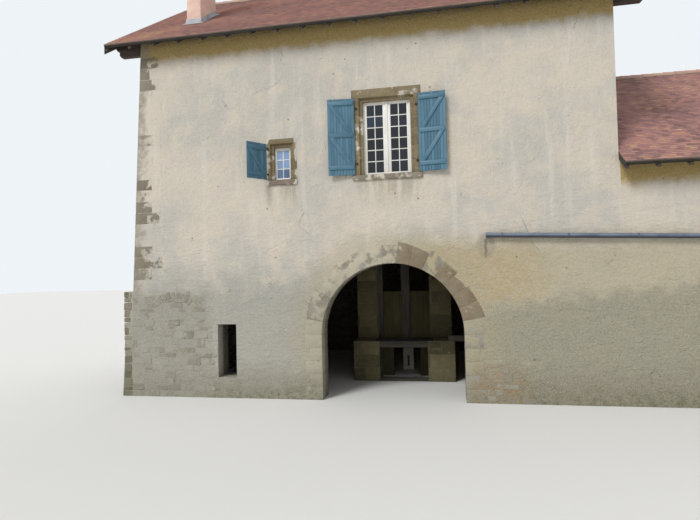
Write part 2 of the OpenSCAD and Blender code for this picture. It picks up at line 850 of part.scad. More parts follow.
// Round ridge tiles that sit astride the two slopes
module ridge(x0, x1, top) {
    peak = under(ridge_y, top) + roof_t * plumb + bed;
    middle = peak - ridge_r * 0.45;
    difference() {
        translate([x0, ridge_y, middle]) rotate([0, 90, 0]) cylinder(r = ridge_r, h = x1 - x0);
        translate([x0 - 1, ridge_y, middle]) rotate([0, 90, 0])
            cylinder(r = ridge_r - ridge_t, h = x1 - x0 + 2);
        bar(x0 - 1, x1 + 1) polygon([[ridge_y, peak],
            [ridge_y + 2 * ridge_r, peak - 2 * ridge_r * rise], [ridge_y, peak - 4 * ridge_r],
            [ridge_y - 2 * ridge_r, peak - 2 * ridge_r * rise]]);
    }
}

module ridge_tiles() color("firebrick") place() {
    ridge(verge_left, verge_right, wall_top);
    ridge(axis_to_right, wing_verge_x, wing_top);
}

barge_foot = -eave_out + tail_in;
module barge(x0, top) bar(x0, x0 + barge_t) polygon([
    [barge_foot, under(barge_foot, top) - barge_h * plumb],
    [barge_foot, under(barge_foot, top)], [ridge_y, under(ridge_y, top)],
    [ridge_y, under(ridge_y, top) - barge_h * plumb]]);

module barge_boards() color("sienna") place() for (side = [0, 1])
    translate([0, side * depth, 0]) mirror([0, side, 0]) {
        barge(verge_left, wall_top);
        barge(verge_right - barge_t, wall_top);
        barge(wing_verge_x - barge_t, wing_top);
    }

// Chimney

chimney_top = ridge_top + chimney_over;
shaft_top = chimney_top - cap_h;
chimney_foot = under(chimney_y, wall_top);
// The space over the front slope, a lift above the tiles
module over_roof(lift) bar(verge_left, axis_to_right) polygon([
    [0, under(0, wall_top) + roof_t * plumb + lift],
    [ridge_y, under(ridge_y, wall_top) + roof_t * plumb + lift],
    [ridge_y, chimney_top + 1], [0, chimney_top + 1]]);

// The space below the same surface
module under_roof(lift) bar(verge_left, axis_to_right) polygon([
    [0, under(0, wall_top) + roof_t * plumb + lift], [0, wall_top], [ridge_y, wall_top],
    [ridge_y, under(ridge_y, wall_top) + roof_t * plumb + lift]]);

// Tapered shaft, with an extra all round
module chimney_shaft(extra) intersection() {
    slab(chimney_y - extra, chimney_y + chimney_d + extra) polygon([
        [-chimney_x - chimney_w / 2 - extra, chimney_foot],
        [-chimney_x + chimney_w / 2 + extra, chimney_foot],
        [-chimney_x + chimney_w / 2 - chimney_taper + extra, shaft_top],
        [-chimney_x - chimney_w / 2 + chimney_taper - extra, shaft_top]]);
    bar(-chimney_x - chimney_w, -chimney_x + chimney_w) polygon([
        [chimney_y - extra, chimney_foot], [chimney_y + chimney_d + extra, chimney_foot],
        [chimney_y + chimney_d - chimney_taper + extra, shaft_top],
        [chimney_y + chimney_taper - extra, shaft_top]]);
}

module chimney() color("bisque") place() difference() {
    union() {
        intersection() {
            chimney_shaft(0);
            over_roof(bed);
        }
        block(-chimney_x - chimney_w / 2 + chimney_taper - cap_out,
            -chimney_x + chimney_w / 2 - chimney_taper + cap_out,
            chimney_y + chimney_taper - cap_out, chimney_y + chimney_d - chimney_taper + cap_out,
            shaft_top, chimney_top);
    }
    block(-chimney_x - chimney_w / 2 + chimney_taper + flue_wall,
        -chimney_x + chimney_w / 2 - chimney_taper - flue_wall,
        chimney_y + chimney_taper + flue_wall, chimney_y + chimney_d - chimney_taper - flue_wall,
        chimney_top - flue_depth, chimney_top + 1);
}

// Lead round the foot of the chimney: an apron on the tiles and an upstand on the shaft
module chimney_flashing() color("silver") place() difference() {
    union() {
        intersection() {
            block(-chimney_x - chimney_w / 2 - flash_w, -chimney_x + chimney_w / 2 + flash_w,
                chimney_y - flash_w, chimney_y + chimney_d + flash_w, wall_top, chimney_top);
            over_roof(bed);
        }
        chimney_shaft(bed + flash_t);
    }
    difference() {
        over_roof(flash_t * plumb);
        chimney_shaft(bed + flash_t);
    }
    over_roof(upstand_h);
    under_roof(bed);
    chimney_shaft(bed);
}

// Drain pipe along the front, falling to the right

pipe_y = -pipe_gap - pipe_d / 2 - collar_t;
pipe_l = (wing_out - pipe_x) / cos(pipe_fall);
module along_pipe() translate([pipe_x, pipe_y, pipe_z]) rotate([0, 90 + pipe_fall, 0]) children();

module drain_pipe() color("slategray") place() along_pipe() difference() {
    union() {
        cylinder(r = pipe_d / 2, h = pipe_l);
        cylinder(r = pipe_d / 2 + collar_t, h = collar_l);
    }
    translate([0, 0, -1]) cylinder(r = pipe_d / 2 - pipe_wall, h = pipe_bore + 1);
}

module pipe_brackets() color("dimgray") place() for (i = [0 : bracket_n - 1]) {
    at = bracket_end + i * (pipe_l - 2 * bracket_end) / (bracket_n - 1);
    x = pipe_x + at * cos(pipe_fall);
    z = pipe_z - at * sin(pipe_fall);
    along_pipe() translate([0, 0, at - band_w / 2]) difference() {
        cylinder(r = pipe_d / 2 + band_t, h = band_w);
        translate([0, 0, -1]) cylinder(r = pipe_d / 2, h = band_w + 2);
    }
    difference() {
        block(x - band_w / 2, x + band_w / 2, pipe_y, 0, z - 8, z + 8);
        along_pipe() cylinder(r = pipe_d / 2 + band_t / 2, h = pipe_l);
    }
}

left_gable_wall();
right_gable_wall();
front_wall_left();
front_wall_arch();
front_wall_right();
front_wall_upper();
rear_wall_lower();
rear_wall_upper();
wing_front_wall();
wing_end_wall();
wing_rear_wall();
left_footing();
corner_quoins();
arch_ring();
big_window_surround();
small_window_surrounds();
window_sills();
big_window_frame();
small_window_frames();
window_glass();
small_shutter();
left_shutter();
right_shutter();
shutter_pintles();
upper_floor();
floor_joists();
floor_beams();
sluice_piers();
sluice_beams();
sluice_deck();
sluice_posts();
sluice_panels();
hanging_board();
side_beam();
purlins();
rafters_front();
rafters_rear();
roof_front();
roof_rear();
ridge_tiles();
barge_boards();
chimney();
chimney_flashing();
drain_pipe();
pipe_brackets();
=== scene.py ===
import json
import math
import random
from functools import cached_property

import bmesh
import bpy
import numpy as np
from mathutils import Matrix, Vector, noise

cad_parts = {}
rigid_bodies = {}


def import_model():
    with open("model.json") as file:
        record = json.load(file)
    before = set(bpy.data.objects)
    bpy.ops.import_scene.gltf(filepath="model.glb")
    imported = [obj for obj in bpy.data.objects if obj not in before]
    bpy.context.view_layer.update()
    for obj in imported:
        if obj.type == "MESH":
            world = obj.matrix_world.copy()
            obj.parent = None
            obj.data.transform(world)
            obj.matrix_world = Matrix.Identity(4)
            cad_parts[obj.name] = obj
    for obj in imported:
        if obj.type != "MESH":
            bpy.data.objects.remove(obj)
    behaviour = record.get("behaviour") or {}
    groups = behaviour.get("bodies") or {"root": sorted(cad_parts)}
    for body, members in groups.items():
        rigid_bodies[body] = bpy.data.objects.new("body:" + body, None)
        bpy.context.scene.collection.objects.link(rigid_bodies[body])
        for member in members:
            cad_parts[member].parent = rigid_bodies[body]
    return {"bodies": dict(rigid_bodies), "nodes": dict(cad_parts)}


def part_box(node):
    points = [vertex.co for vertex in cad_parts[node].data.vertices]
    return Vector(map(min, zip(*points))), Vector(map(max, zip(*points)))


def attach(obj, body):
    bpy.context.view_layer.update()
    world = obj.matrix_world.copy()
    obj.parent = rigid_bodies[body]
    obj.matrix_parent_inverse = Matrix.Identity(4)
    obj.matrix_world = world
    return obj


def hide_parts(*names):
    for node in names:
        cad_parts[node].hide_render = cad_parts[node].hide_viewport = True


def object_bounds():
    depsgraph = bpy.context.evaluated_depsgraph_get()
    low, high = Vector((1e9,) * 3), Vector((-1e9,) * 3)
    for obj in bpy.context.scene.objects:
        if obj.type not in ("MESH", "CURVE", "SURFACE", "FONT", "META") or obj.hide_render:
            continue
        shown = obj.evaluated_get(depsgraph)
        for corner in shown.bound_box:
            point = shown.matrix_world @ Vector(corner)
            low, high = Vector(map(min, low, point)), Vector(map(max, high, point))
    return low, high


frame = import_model()
ours = list(frame["bodies"].values()) + list(frame["nodes"].values())
for stray in [thing for thing in bpy.data.objects if thing not in ours]:
    bpy.data.objects.remove(stray)
frameLow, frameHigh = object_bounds()
print("frame loaded,", len(frame["nodes"]), "nodes")


def shifted(x, y, z):
    return Matrix.Translation((x, y, z))


def spun(axis, angle):
    return Matrix.Rotation(angle, 4, axis)


def linked(name, data):
    made = bpy.data.objects.new(name, data)
    bpy.context.scene.collection.objects.link(made)
    return made


# Places on the walls: x from the arch axis, n into the house from the wall face, z up
axisX = (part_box("arch_ring")[0].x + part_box("arch_ring")[1].x) / 2
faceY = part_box("front_wall_left")[0].y
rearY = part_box("rear_wall_lower")[1].y
ridgeY = (faceY + rearY) / 2
houseDeep = rearY - faceY
frontWall = shifted(axisX, faceY, 0)
rearWall = shifted(axisX, rearY, 0) @ spun("Z", math.pi)
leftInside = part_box("upper_floor")[0].x - axisX
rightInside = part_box("upper_floor")[1].x - axisX
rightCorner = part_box("right_gable_wall")[1].x - axisX
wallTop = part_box("front_wall_upper")[1].z
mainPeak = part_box("right_gable_wall")[1].z
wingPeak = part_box("wing_end_wall")[1].z
slope = math.radians(35)
pitch = math.tan(slope)
gableSide = {"top": -7.29, "lean": 0.048, "footingHigh": 3.07, "footingOut": 0.17, "footingMore": 0.06}


def cornerX(z):
    return gableSide["top"] - gableSide["lean"] * (wallTop - z)


# Camera and lamps

camera = {"place": (0.524, -18.94, 3.47), "left": 10.56, "up": 1.43, "roll": 1.36, "lens": 26.77,
          "sensor": 36.0, "far": 400.0}
lamps = {"key_lamp": {"strength": 1.9, "soft": 20.0, "turn": 32.0, "high": 43.0},
         "fill_lamp": {"strength": 0.6, "soft": 50.0, "turn": 200.0, "high": 40.0}}


def aimCamera():
    eye = bpy.data.cameras.new("eye")
    eye.lens, eye.sensor_width, eye.clip_end = camera["lens"], camera["sensor"], camera["far"]
    stand = shifted(*camera["place"])
    for axis, turn in (("Z", camera["left"]), ("X", camera["up"]), ("Y", camera["roll"]), ("X", 90)):
        stand = stand @ spun(axis, math.radians(turn))
    holder = linked("camera", eye)
    holder.matrix_world = stand
    bpy.context.scene.camera = holder


def addSun(name, look):
    lamp = bpy.data.lights.new(name, "SUN")
    lamp.energy, lamp.angle = look["strength"], math.radians(look["soft"])
    side, rise = math.radians(look["turn"]), math.radians(look["high"])
    ray = Vector((math.sin(side) * math.cos(rise), math.cos(side) * math.cos(rise), -math.sin(rise)))
    holder = linked(name, lamp)
    holder.rotation_mode = "QUATERNION"
    holder.rotation_quaternion = ray.to_track_quat("-Z", "Y")


aimCamera()
for name, look in lamps.items():
    addSun(name, look)
print("camera and lamps placed")


# Shader maths written as plain expressions; colours are written as they look on screen, 0 to 255

def tint(red, green, blue):
    parts = [level / 255 for level in (red, green, blue)]
    return tuple(p / 12.92 if p <= 0.04045 else ((p + 0.055) / 1.055) ** 2.4 for p in parts) + (1.0,)


class Signal:
    def __init__(self, finish, socket):
        self.finish, self.socket = finish, socket

    def maths(self, operation, first, second=0.0):
        return self.finish.node("Math", {"operation": operation}, {0: first, 1: second})

    def __add__(self, other):
        return self.maths("ADD", self, other)

    def __sub__(self, other):
        return self.maths("SUBTRACT", self, other)

    def __rsub__(self, other):
        return self.maths("SUBTRACT", other, self)

    def __mul__(self, other):
        return self.maths("MULTIPLY", self, other)

    def __pow__(self, other):
        return self.maths("POWER", self, other)

    def __abs__(self):
        return self.maths("ABSOLUTE", self)

    __radd__ = __add__
    __rmul__ = __mul__

    def most(self, other):
        return self.maths("MAXIMUM", self, other)

    def step(self, low, high):  # 0 at low and 1 at high, or the other way round
        rising = self.finish.node("MapRange", {"interpolation_type": "SMOOTHSTEP"},
                                  {0: self, 1: min(low, high), 2: max(low, high)})
        return 1 - rising if low > high else rising


class Finish:
    def __init__(self, name, kind="materials"):
        self.holder = getattr(bpy.data, kind).new(name)
        self.holder.use_nodes = True
        self.tree = self.holder.node_tree
        self.tree.nodes.clear()

    @cached_property
    def place(self):
        return self.node("TexCoord", output=3)

    @cached_property
    def tone(self):
        return self.node("Attribute", {"attribute_name": "tone"}, output=2)

    @cached_property
    def grain(self):
        return self.node("Attribute", {"attribute_name": "grain"}, output=1)

    def node(self, kind, settings=None, sockets=None, output=0):
        made = self.tree.nodes.new("ShaderNode" + kind)
        for setting, value in (settings or {}).items():
            if setting == "stops":
                while len(made.color_ramp.elements) < len(value):
                    made.color_ramp.elements.new(0.5)
                for element, (at, *levels) in zip(made.color_ramp.elements, value):
                    element.position, element.color = at, tint(*levels)
            else:
                setattr(made, setting, value)
        for key, value in (sockets or {}).items():
            if isinstance(value, Signal):
                self.tree.links.new(value.socket, made.inputs[key])
            else:
                made.inputs[key].default_value = value
        return Signal(self, made.outputs[output]) if made.outputs else made

    def noise(self, vector, scale, detail=3.0, rough=0.55, bend=0.0, seed=None):
        sockets = {"Vector": vector, "Scale": scale, "Detail": detail, "Roughness": rough, "Distortion": bend}
        if seed is None:
            return self.node("TexNoise", {}, sockets)
        return self.node("TexNoise", {"noise_dimensions": "4D"}, sockets | {"W": seed})

    def cells(self, vector, scale, feature="F1"):
        return self.node("TexVoronoi", {"feature": feature}, {"Vector": vector, "Scale": scale})

    def mix(self, factor, *pair):
        first, second = (tint(*paint) if isinstance(paint, tuple) else paint for paint in pair)
        return self.node("Mix", {"data_type": "RGBA"}, {0: factor, 6: first, 7: second}, 2)

    def coats(self, colour, *rows):  # each row is a mask and the colour that goes on through it
        for mask, paint in rows:
            colour = self.mix(mask, colour, paint)
        return colour

    def ramp(self, factor, stops):
        return self.node("ValToRGB", {"stops": stops}, {0: factor})

    def stretched(self, vector, scale):
        return self.node("VectorMath", {"operation": "MULTIPLY"}, {0: vector, 1: scale})

    def moved(self, vector, shift):
        return self.node("VectorMath", {"operation": "ADD"}, {0: vector, 1: shift})

    def along(self, vector):
        return [self.node("SeparateXYZ", {}, {0: vector}, output) for output in range(3)]

    def onWall(self):
        return self.along(self.moved(self.place, (-axisX, -faceY, 0.0)))

    def close(self, colour, roughness, height, **fixed):  # height in metres
        bump = self.node("Bump", {}, {"Strength": 1.0, "Distance": 1.0, "Height": height})
        sockets = {"Base Color": colour, "Roughness": roughness, "Normal": bump}
        self.node("OutputMaterial", {}, {"Surface": self.node("BsdfPrincipled", {}, sockets | fixed)})
        return self.holder


# Wall render: lime render in cream and grey, older and darker towards the water

wallLook = {
    "cream": (207, 198, 183), "grey": (184, 181, 174), "warm": (216, 203, 181), "pale": (222, 216, 206),
    "ochre": (163, 136, 60), "underEave": (80, 64, 30), "khaki": (165, 155, 121), "tan": (172, 151, 108),
    "coarse": (133, 131, 113), "green": (148, 149, 140), "corner": (136, 129, 114), "damp": (118, 112, 90),
    "moss": (88, 94, 60), "soot": (70, 66, 58), "mortar": (146, 144, 130), "earth": (146, 120, 82),
    "inner": (80, 75, 62), "shadedInnerJoint": (106, 100, 84),
    "eaveBand": 0.72, "eaveShade": (0.42, 0.02), "pipeZ": 4.3, "pipeEnd": 2.53, "archR": 1.93, "archZ": 1.78,
    "khakiX": (-0.6, 1.4), "tanX": (4.6, 3.2), "tanZ": (2.1, 2.5), "coarseX": (1.6, 2.1),
    "coarseZ": (2.5, 2.0), "greenX": (-0.4, -1.8), "greenZ": (4.1, 2.6), "seamX": -3.95,
    "seamFoot": (4.0, 4.6), "seamTop": (7.4, 6.6), "sillZ": 5.99, "bigSill": (1.0, 0.8),
    "smallSill": (0.52, 0.4), "smallSillLeft": 2.98, "rearSillX": 2.4,
    "dampZ": (1.25, 0.1), "mossZ": (0.55, 0.0), "bareLeftX": (-5.05, -5.5), "bareLeftZ": (3.15, 2.85),
    "bareRightX": (2.0, 2.2), "bareRightEnd": (3.7, 3.2), "bareRightZ": (1.2, 0.9), "levelZ": (6.0, 4.0)}


def limeRender(finish):
    look, place = wallLook, finish.place
    x, n, z = finish.onWall()
    broad = finish.noise(place, 0.42, 4.0, 0.6)
    medium = finish.noise(place, 1.6, 6.0, 0.62)
    cloud = finish.noise(place, 5.5, 5.0, 0.66)
    cast = finish.noise(place, 17.0, 4.0, 0.7)
    grit = finish.noise(place, 38.0, 4.0, 0.7)
    ragged = finish.noise(place, 2.3, 5.0, 0.68, 0.6)
    runs = finish.noise(finish.stretched(place, (4.5, 4.5, 0.4)), 1.0, 5.0, 0.62)
    bent = finish.moved(place, finish.stretched(finish.noise(place, 2.2, 4.0, 0.6), (0.5, 0.5, 0.5)))
    wander = (medium - 0.5) * 1.1 + (cloud - 0.5) * 0.35
    front = n.step(0.5, 0.3)
    rear = n.step(houseDeep - 0.5, houseDeep - 0.3)
    facing = n.step(1.2, 0.2) * 0.7 + 0.3
    coats = [(broad.step(0.38, 0.62) * 0.8, "grey"), (medium.step(0.46, 0.68) * 0.55, "warm"),
             (runs.step(0.50, 0.72) * 0.4, "pale"), (cloud.step(0.54, 0.72) * 0.35, "grey")]

    # Ochre under the eaves and verges, and painted shade close under them
    wing = x.step(rightCorner + 0.02, rightCorner + 0.03)
    below = mainPeak - wing * (mainPeak - wingPeak) - abs(n - (ridgeY - faceY)) * pitch - z
    eave = (below + wander * 0.4).step(look["eaveBand"] + 0.16, look["eaveBand"] - 0.12)
    # painted shade: a dark brown mixed in close under the eaves and verges, where the roof's shadow falls
    coats += [(eave * 0.97, "ochre"), ((below + wander * 0.05).step(*look["eaveShade"]) * 0.6, "underEave")]

    # Khaki at the right below the pipe with a tan patch by the arch, coarse and grey under it; the coarse
    # grey is partly the wall's own colour and partly painted shade, darker low on the right
    rightLow = (z + wander).step(look["pipeZ"] + 0.35, look["pipeZ"] - 0.55)
    rightLow = rightLow * (x + wander).step(*look["khakiX"]) * facing
    patch = rightLow * (z - x * 0.12 + wander * 0.8).step(*look["tanZ"]) * (x + wander).step(*look["tanX"])
    coarse = (z - x * 0.1 + wander).step(*look["coarseZ"])
    coarse = coarse * (x + wander * 0.5).step(*look["coarseX"]) * facing
    leftLow = (z + wander * 1.3).step(*look["greenZ"]) * (x + wander).step(*look["greenX"]) * facing
    radius = (x ** 2 + (z - look["archZ"]) ** 2) ** 0.5
    halo = (radius + wander * 0.7).step(look["archR"] + 1.3, look["archR"] + 0.35) * facing
    coats += [(rightLow * 0.7, "khaki"), (patch * cloud.step(0.3, 0.55) * 0.7, "tan"),
              (coarse * 0.72, "coarse"), (leftLow * 0.75, "green"), (halo * 0.5, "khaki")]

    # Weathered left front corner, repair seam, stains below the pipe's end and the sills
    outward = (x + (wallTop - z) * gableSide["lean"] - gableSide["top"]).most(n)
    edge = (outward + (ragged - 0.5) * 1.5).step(0.42, 0.0)
    edge = edge * z.step(gableSide["footingHigh"] - 0.4, gableSide["footingHigh"] + 0.1)
    seam = (x + (cloud - 0.5) * 0.12).step(look["seamX"] - 0.03, look["seamX"] + 0.03)
    seam = seam * x.step(look["seamX"] + 1.5, look["seamX"] + 0.2)
    seam = seam * z.step(*look["seamFoot"]) * z.step(*look["seamTop"]) * front
    across = x - look["pipeEnd"] + (cloud - 0.5) * 0.12
    drop = ((across ** 2 + (z - look["pipeZ"] + 0.2) ** 2 * 0.7) ** 0.5).step(0.32, 0.18) * front
    streak = abs(across).step(0.055, 0.01) * z.step(look["pipeZ"] - 0.62, look["pipeZ"] - 0.3)
    streak = streak * z.step(look["pipeZ"] + 0.02, look["pipeZ"] - 0.04) * front
    sills = (abs(x).step(*look["bigSill"]) + abs(x + look["smallSillLeft"]).step(*look["smallSill"])) * front
    sills = sills + abs(abs(x) - look["rearSillX"]).step(*look["smallSill"]) * rear
    sills = sills * z.step(look["sillZ"] - 1.0, look["sillZ"])
    sills = sills * z.step(look["sillZ"] + 0.02, look["sillZ"] - 0.02)
    coats += [(edge * (cloud.step(0.3, 0.6) * 0.4 + 0.4), "corner"), (seam * 0.28, "cream"),
              (drop * (ragged.step(0.3, 0.6) * 0.3 + 0.2), "damp"), (streak * 0.7, "soot"),
              (sills * runs.step(0.40, 0.62) * 0.5, "damp")]

    # Damp and moss near the ground, small holes and fine cracks
    rise = z + wander * 0.75
    holes = finish.cells(place, 2.6).step(0.075, 0.045) * medium.step(0.50, 0.56)
    cracks = finish.cells(bent, 0.42, "DISTANCE_TO_EDGE").step(0.0035, 0.001)
    marks = holes.most(cracks * broad.step(0.52, 0.58) * medium.step(0.48, 0.56) * 0.6)
    coats += [(rise.step(*look["dampZ"]) * 0.72, "damp"),
              (rise.step(*look["mossZ"]) * cloud.step(0.46, 0.6) * 0.8, "moss"), (marks * 0.75, "soot")]

    # Bare stone and mortar at the left foot and the right foot, and inside the chamber dark rubble and
    # joints, darkened as painted shade
    leftBare = (x + wander * 0.5).step(*look["bareLeftX"])
    leftBare = leftBare * (z + wander * 0.35).step(*look["bareLeftZ"]) * front
    rightBare = (x + wander * 0.4).step(*look["bareRightX"]) * (x + wander * 0.6).step(*look["bareRightEnd"])
    rightBare = rightBare * (z + wander * 0.3).step(*look["bareRightZ"]) * front
    coats += [(leftBare * 0.7, "mortar"), (rightBare * cloud.step(0.35, 0.6) * 0.55, "earth")]
    # painted shade: the chamber's walls are painted dark so the chamber stays dark
    inside = n.step(0.3, 0.36) * n.step(houseDeep - 0.3, houseDeep - 0.36)
    inside = inside * x.step(leftInside - 0.3, leftInside - 0.24)
    inside = inside * x.step(rightInside + 0.3, rightInside + 0.24)
    lumps = finish.cells(bent, 3.4, "DISTANCE_TO_EDGE")
    shadedChamber = finish.mix(lumps.step(0.0, 0.12), look["shadedInnerJoint"], look["inner"])
    colour = finish.coats(look["cream"], *((mask, look[paint]) for mask, paint in coats))
    colour = finish.coats(colour, (inside * 0.94, shadedChamber), (grit.step(0.35, 0.65) * 0.22, look["pale"]),
                          (grit.step(0.5, 0.25) * 0.16, look["soot"]))

    pits = finish.cells(place, 9.0).step(0.22, 0.08) * (coarse + 0.3)
    low = (z + wander).step(*look["levelZ"])  # trowelled level low down and upright above
    level = finish.noise(finish.stretched(bent, (1.6, 1.6, 13.0)), 1.0, 4.0, 0.62, 0.5) * (low * 0.7 + 0.3)
    upright = finish.noise(finish.stretched(bent, (13.0, 13.0, 1.8)), 1.0, 4.0, 0.62, 0.5) * (1 - low)
    height = grit * 0.004 + cast * 0.013 + cloud * 0.026 + medium * 0.020 - marks * 0.012 - pits * 0.008
    height = height + level * 0.028 + upright * 0.019
    height = height + inside * lumps.step(0.0, 0.1) * 0.02 + leftBare.most(rightBare) * cast * 0.008
    return colour, cloud * 0.1 + 0.84, height


def renderFinish(name):
    finish = Finish(name)
    return finish.close(*limeRender(finish))


# Stones: tone runs from pale and limewashed to dark and warm

stoneLook = {"lime": (206, 198, 180), "pit": (64, 60, 52), "lichen": (176, 172, 150), "moss": (80, 84, 56),
             "mossDeep": 1.3, "red": (106, 82, 72), "redHalf": (0.42, 0.3), "redZ": (6.16, 6.12),
             "windowLeft": 2.978, "jambHalf": (0.35, 0.45), "jambEnd": (0.8, 0.7), "cornerWide": (0.12, 0.55)}


def stoneFinish(name, stops, cover=0.0, mossTop=0.0, ends=""):
    finish, look = Finish(name), stoneLook
    place, tone = finish.place, finish.tone
    x, n, z = finish.onWall()
    blotch = finish.noise(place, 3.2, 5.0, 0.65, seed=tone * 9)
    speck = finish.noise(place, 26.0, 4.0, 0.72, seed=tone * 5)
    bed = finish.noise(finish.stretched(place, (1.0, 1.0, 6.0)), 3.0, 4.0, 0.6, seed=tone * 7)
    lichen = finish.noise(place, 11.0, 4.0, 0.7).step(0.60, 0.68)
    colour = finish.coats(finish.ramp(tone * 0.6 + blotch * 0.9 + speck * 0.35 - 0.425, stops),
                          (bed.step(0.58, 0.80) * 0.25, look["lime"]),
                          (speck.step(0.42, 0.28) * 0.4, look["pit"]), (lichen * 0.35, look["lichen"]))
    height = blotch * 0.022 + speck * 0.007 + bed * 0.010
    if mossTop:
        moss = (z + blotch * 0.8).step(mossTop, mossTop - look["mossDeep"])
        colour = finish.mix(moss * 0.5, colour, look["moss"])
    if cover:  # old render over the pale stones, ragged over the dark ones
        wall, _, wallHeight = limeRender(finish)
        ragged = finish.noise(place, 3.8, 4.0, 0.6)
        veil = (ragged - 0.5) * 3.4 - (tone - 0.5) * cover
        if ends == "corner":
            leaning = x + (wallTop - z) * gableSide["lean"] - gableSide["top"]
            veil = veil + leaning.most(n).step(*look["cornerWide"]) * 0.7 - 0.1
        if ends == "window":
            across = abs(x + look["windowLeft"])
            aside = (across + (blotch - 0.5) * 0.3).step(*look["jambHalf"]) * n.step(0.1, 0.0)
            red = (across + (ragged - 0.5) * 0.3).step(*look["redHalf"])
            red = red * z.step(*look["redZ"]) * n.step(0.4, 0.3)
            colour = finish.mix(red * 0.6, colour, look["red"])
            veil = veil + aside * across.step(*look["jambEnd"]) * 1.1 - red * 0.6
        fray = (speck - 0.5) * 0.5 + (blotch - 0.5) * 0.6
        colour = finish.mix((veil + fray).step(-0.14, 0.24) * 0.96, colour, wall)
        height = (height + wallHeight) * 0.5 + veil.step(-0.25, 0.3) * 0.004
    return finish.close(colour, speck * 0.15 + 0.75, height)


# Timber, paint, tiles, metal and glass

timberLook = {"splits": (24, 20, 16), "slime": (46, 50, 30)}


def timberFinish(name, fresh, worn, dark, wet=0.0):
    finish = Finish(name)
    grain, tone = finish.grain, finish.tone
    fibres = finish.noise(finish.stretched(grain, (1.2, 26.0, 26.0)), 1.0, 5.0, 0.62, 0.4, tone * 11)
    fine = finish.noise(finish.stretched(grain, (6.0, 110.0, 110.0)), 1.0, 3.0, 0.6, 0.0, tone * 7)
    patches = finish.noise(finish.stretched(grain, (1.0, 4.0, 4.0)), 1.3, 4.0, 0.6, 0.0, tone * 3)
    splits = fibres.step(0.31, 0.27) * patches.step(0.40, 0.55)
    colour = finish.coats(fresh, (patches.step(0.35, 0.65), worn), (fibres.step(0.45, 0.70) * 0.75, dark),
                          (fine.step(0.55, 0.75) * 0.3, dark), (tone * 0.35, dark),
                          (splits * 0.8, timberLook["splits"]))
    if wet:
        slime = (finish.along(finish.place)[2] + patches * 1.2).step(wet + 0.8, wet - 0.6)
        colour = finish.mix(slime * 0.6, colour, timberLook["slime"])
    return finish.close(colour, 0.88 - tone * 0.1, fibres * 0.003 + fine * 0.0012 - splits * 0.004)


def paintFinish(name, paint, faded, bare, wear):
    finish = Finish(name)
    grain, tone = finish.grain, finish.tone
    fibres = finish.noise(finish.stretched(grain, (1.5, 40.0, 40.0)), 1.0, 4.0, 0.6, 0.3, tone * 11)
    weather = finish.noise(finish.stretched(grain, (0.9, 3.0, 3.0)), 1.6, 5.0, 0.62, 0.0, tone * 4)
    chips = finish.noise(finish.stretched(grain, (6.0, 26.0, 26.0)), 1.0, 5.0, 0.72, 0.2, tone * 13)
    worn = chips.step(0.70 - wear * 0.2, 0.74 - wear * 0.2) * weather.step(0.42, 0.52)
    colour = finish.coats(paint, ((weather + tone * 0.25 - 0.12).step(0.38, 0.66), faded),
                          (fibres.step(0.56, 0.72) * 0.22, (30, 44, 50)), (worn * 0.85, bare))
    return finish.close(colour, worn * 0.3 + weather * 0.2 + 0.42, fibres * 0.0012 - worn * 0.0012)


tileLook = {"stops": ((0.0, 97, 72, 75), (0.22, 128, 92, 93), (0.42, 155, 112, 108), (0.6, 174, 127, 118),
                      (0.76, 188, 141, 117), (0.88, 190, 156, 122), (1.0, 206, 186, 163)),
            "dusky": (112, 84, 86), "tail": (206, 176, 164), "lichen": (168, 160, 138), "speck": (60, 44, 42)}


def tileFinish(name):
    finish, look = Finish(name), tileLook
    place, tone = finish.place, finish.tone
    blotch = finish.noise(place, 7.0, 4.0, 0.65, seed=tone * 15)
    field = finish.noise(place, 0.7, 4.0, 0.6)
    speck = finish.noise(place, 60.0, 3.0, 0.7)
    # painted highlight: the lower edge of each tile is mixed paler, as if lit
    tail = (finish.along(finish.grain)[1] - tone * 23.0).step(0.016, 0.004)
    lichen = finish.noise(place, 9.0, 5.0, 0.72).step(0.60, 0.68)
    lichen = lichen * finish.noise(place, 1.1, 3.0).step(0.42, 0.6)
    colour = finish.coats(finish.ramp(tone * 0.8 + blotch * 0.3 - 0.05, look["stops"]),
                          (field.step(0.50, 0.68) * 0.3, look["dusky"]), (tail * 0.35, look["tail"]),
                          (lichen * 0.5, look["lichen"]), (speck.step(0.55, 0.8) * 0.3, look["speck"]))
    return finish.close(colour, speck * 0.15 + 0.75, blotch * 0.003 + speck * 0.0015)


def metalFinish(name, base, stain, shine, metal, scale, under=0.0):
    finish = Finish(name)
    broad = finish.noise(finish.place, scale, 5.0, 0.65)
    fine = finish.noise(finish.place, scale * 14, 4.0, 0.7)
    colour = finish.coats(base, (broad.step(0.42, 0.68) * 0.75, stain), (fine.step(0.58, 0.76) * 0.3, stain))
    if under:  # painted shade on the faces that look down
        facing = finish.along(finish.node("NewGeometry", output=1))[2]
        colour = finish.mix(facing.step(0.35, -0.5) * under, colour, (38, 40, 48))
    return finish.close(colour, broad * 0.2 + shine, fine * 0.0012 + broad * 0.002, Metallic=metal)


# Panes are opaque: their colour runs from near black, painted shade of the dark rooms behind, to pale blue, a
# painted sky reflection
def glassFinish(name, *stops):
    finish = Finish(name)
    hazeAndSheen = finish.noise(finish.place, 2.3, 3.0, 0.6)
    wave = finish.noise(finish.place, 3.5, 2.0, 0.5) * 0.004
    return finish.close(finish.ramp(finish.tone + hazeAndSheen * 0.12 - 0.06, stops), hazeAndSheen * 0.04 + 0.04, wave)


chimneyLook = {"peach": (238, 208, 192), "dull": (227, 192, 176), "brown": (198, 160, 142),
               "grit": (120, 98, 82), "soot": (96, 84, 76), "sootDeep": 0.35}


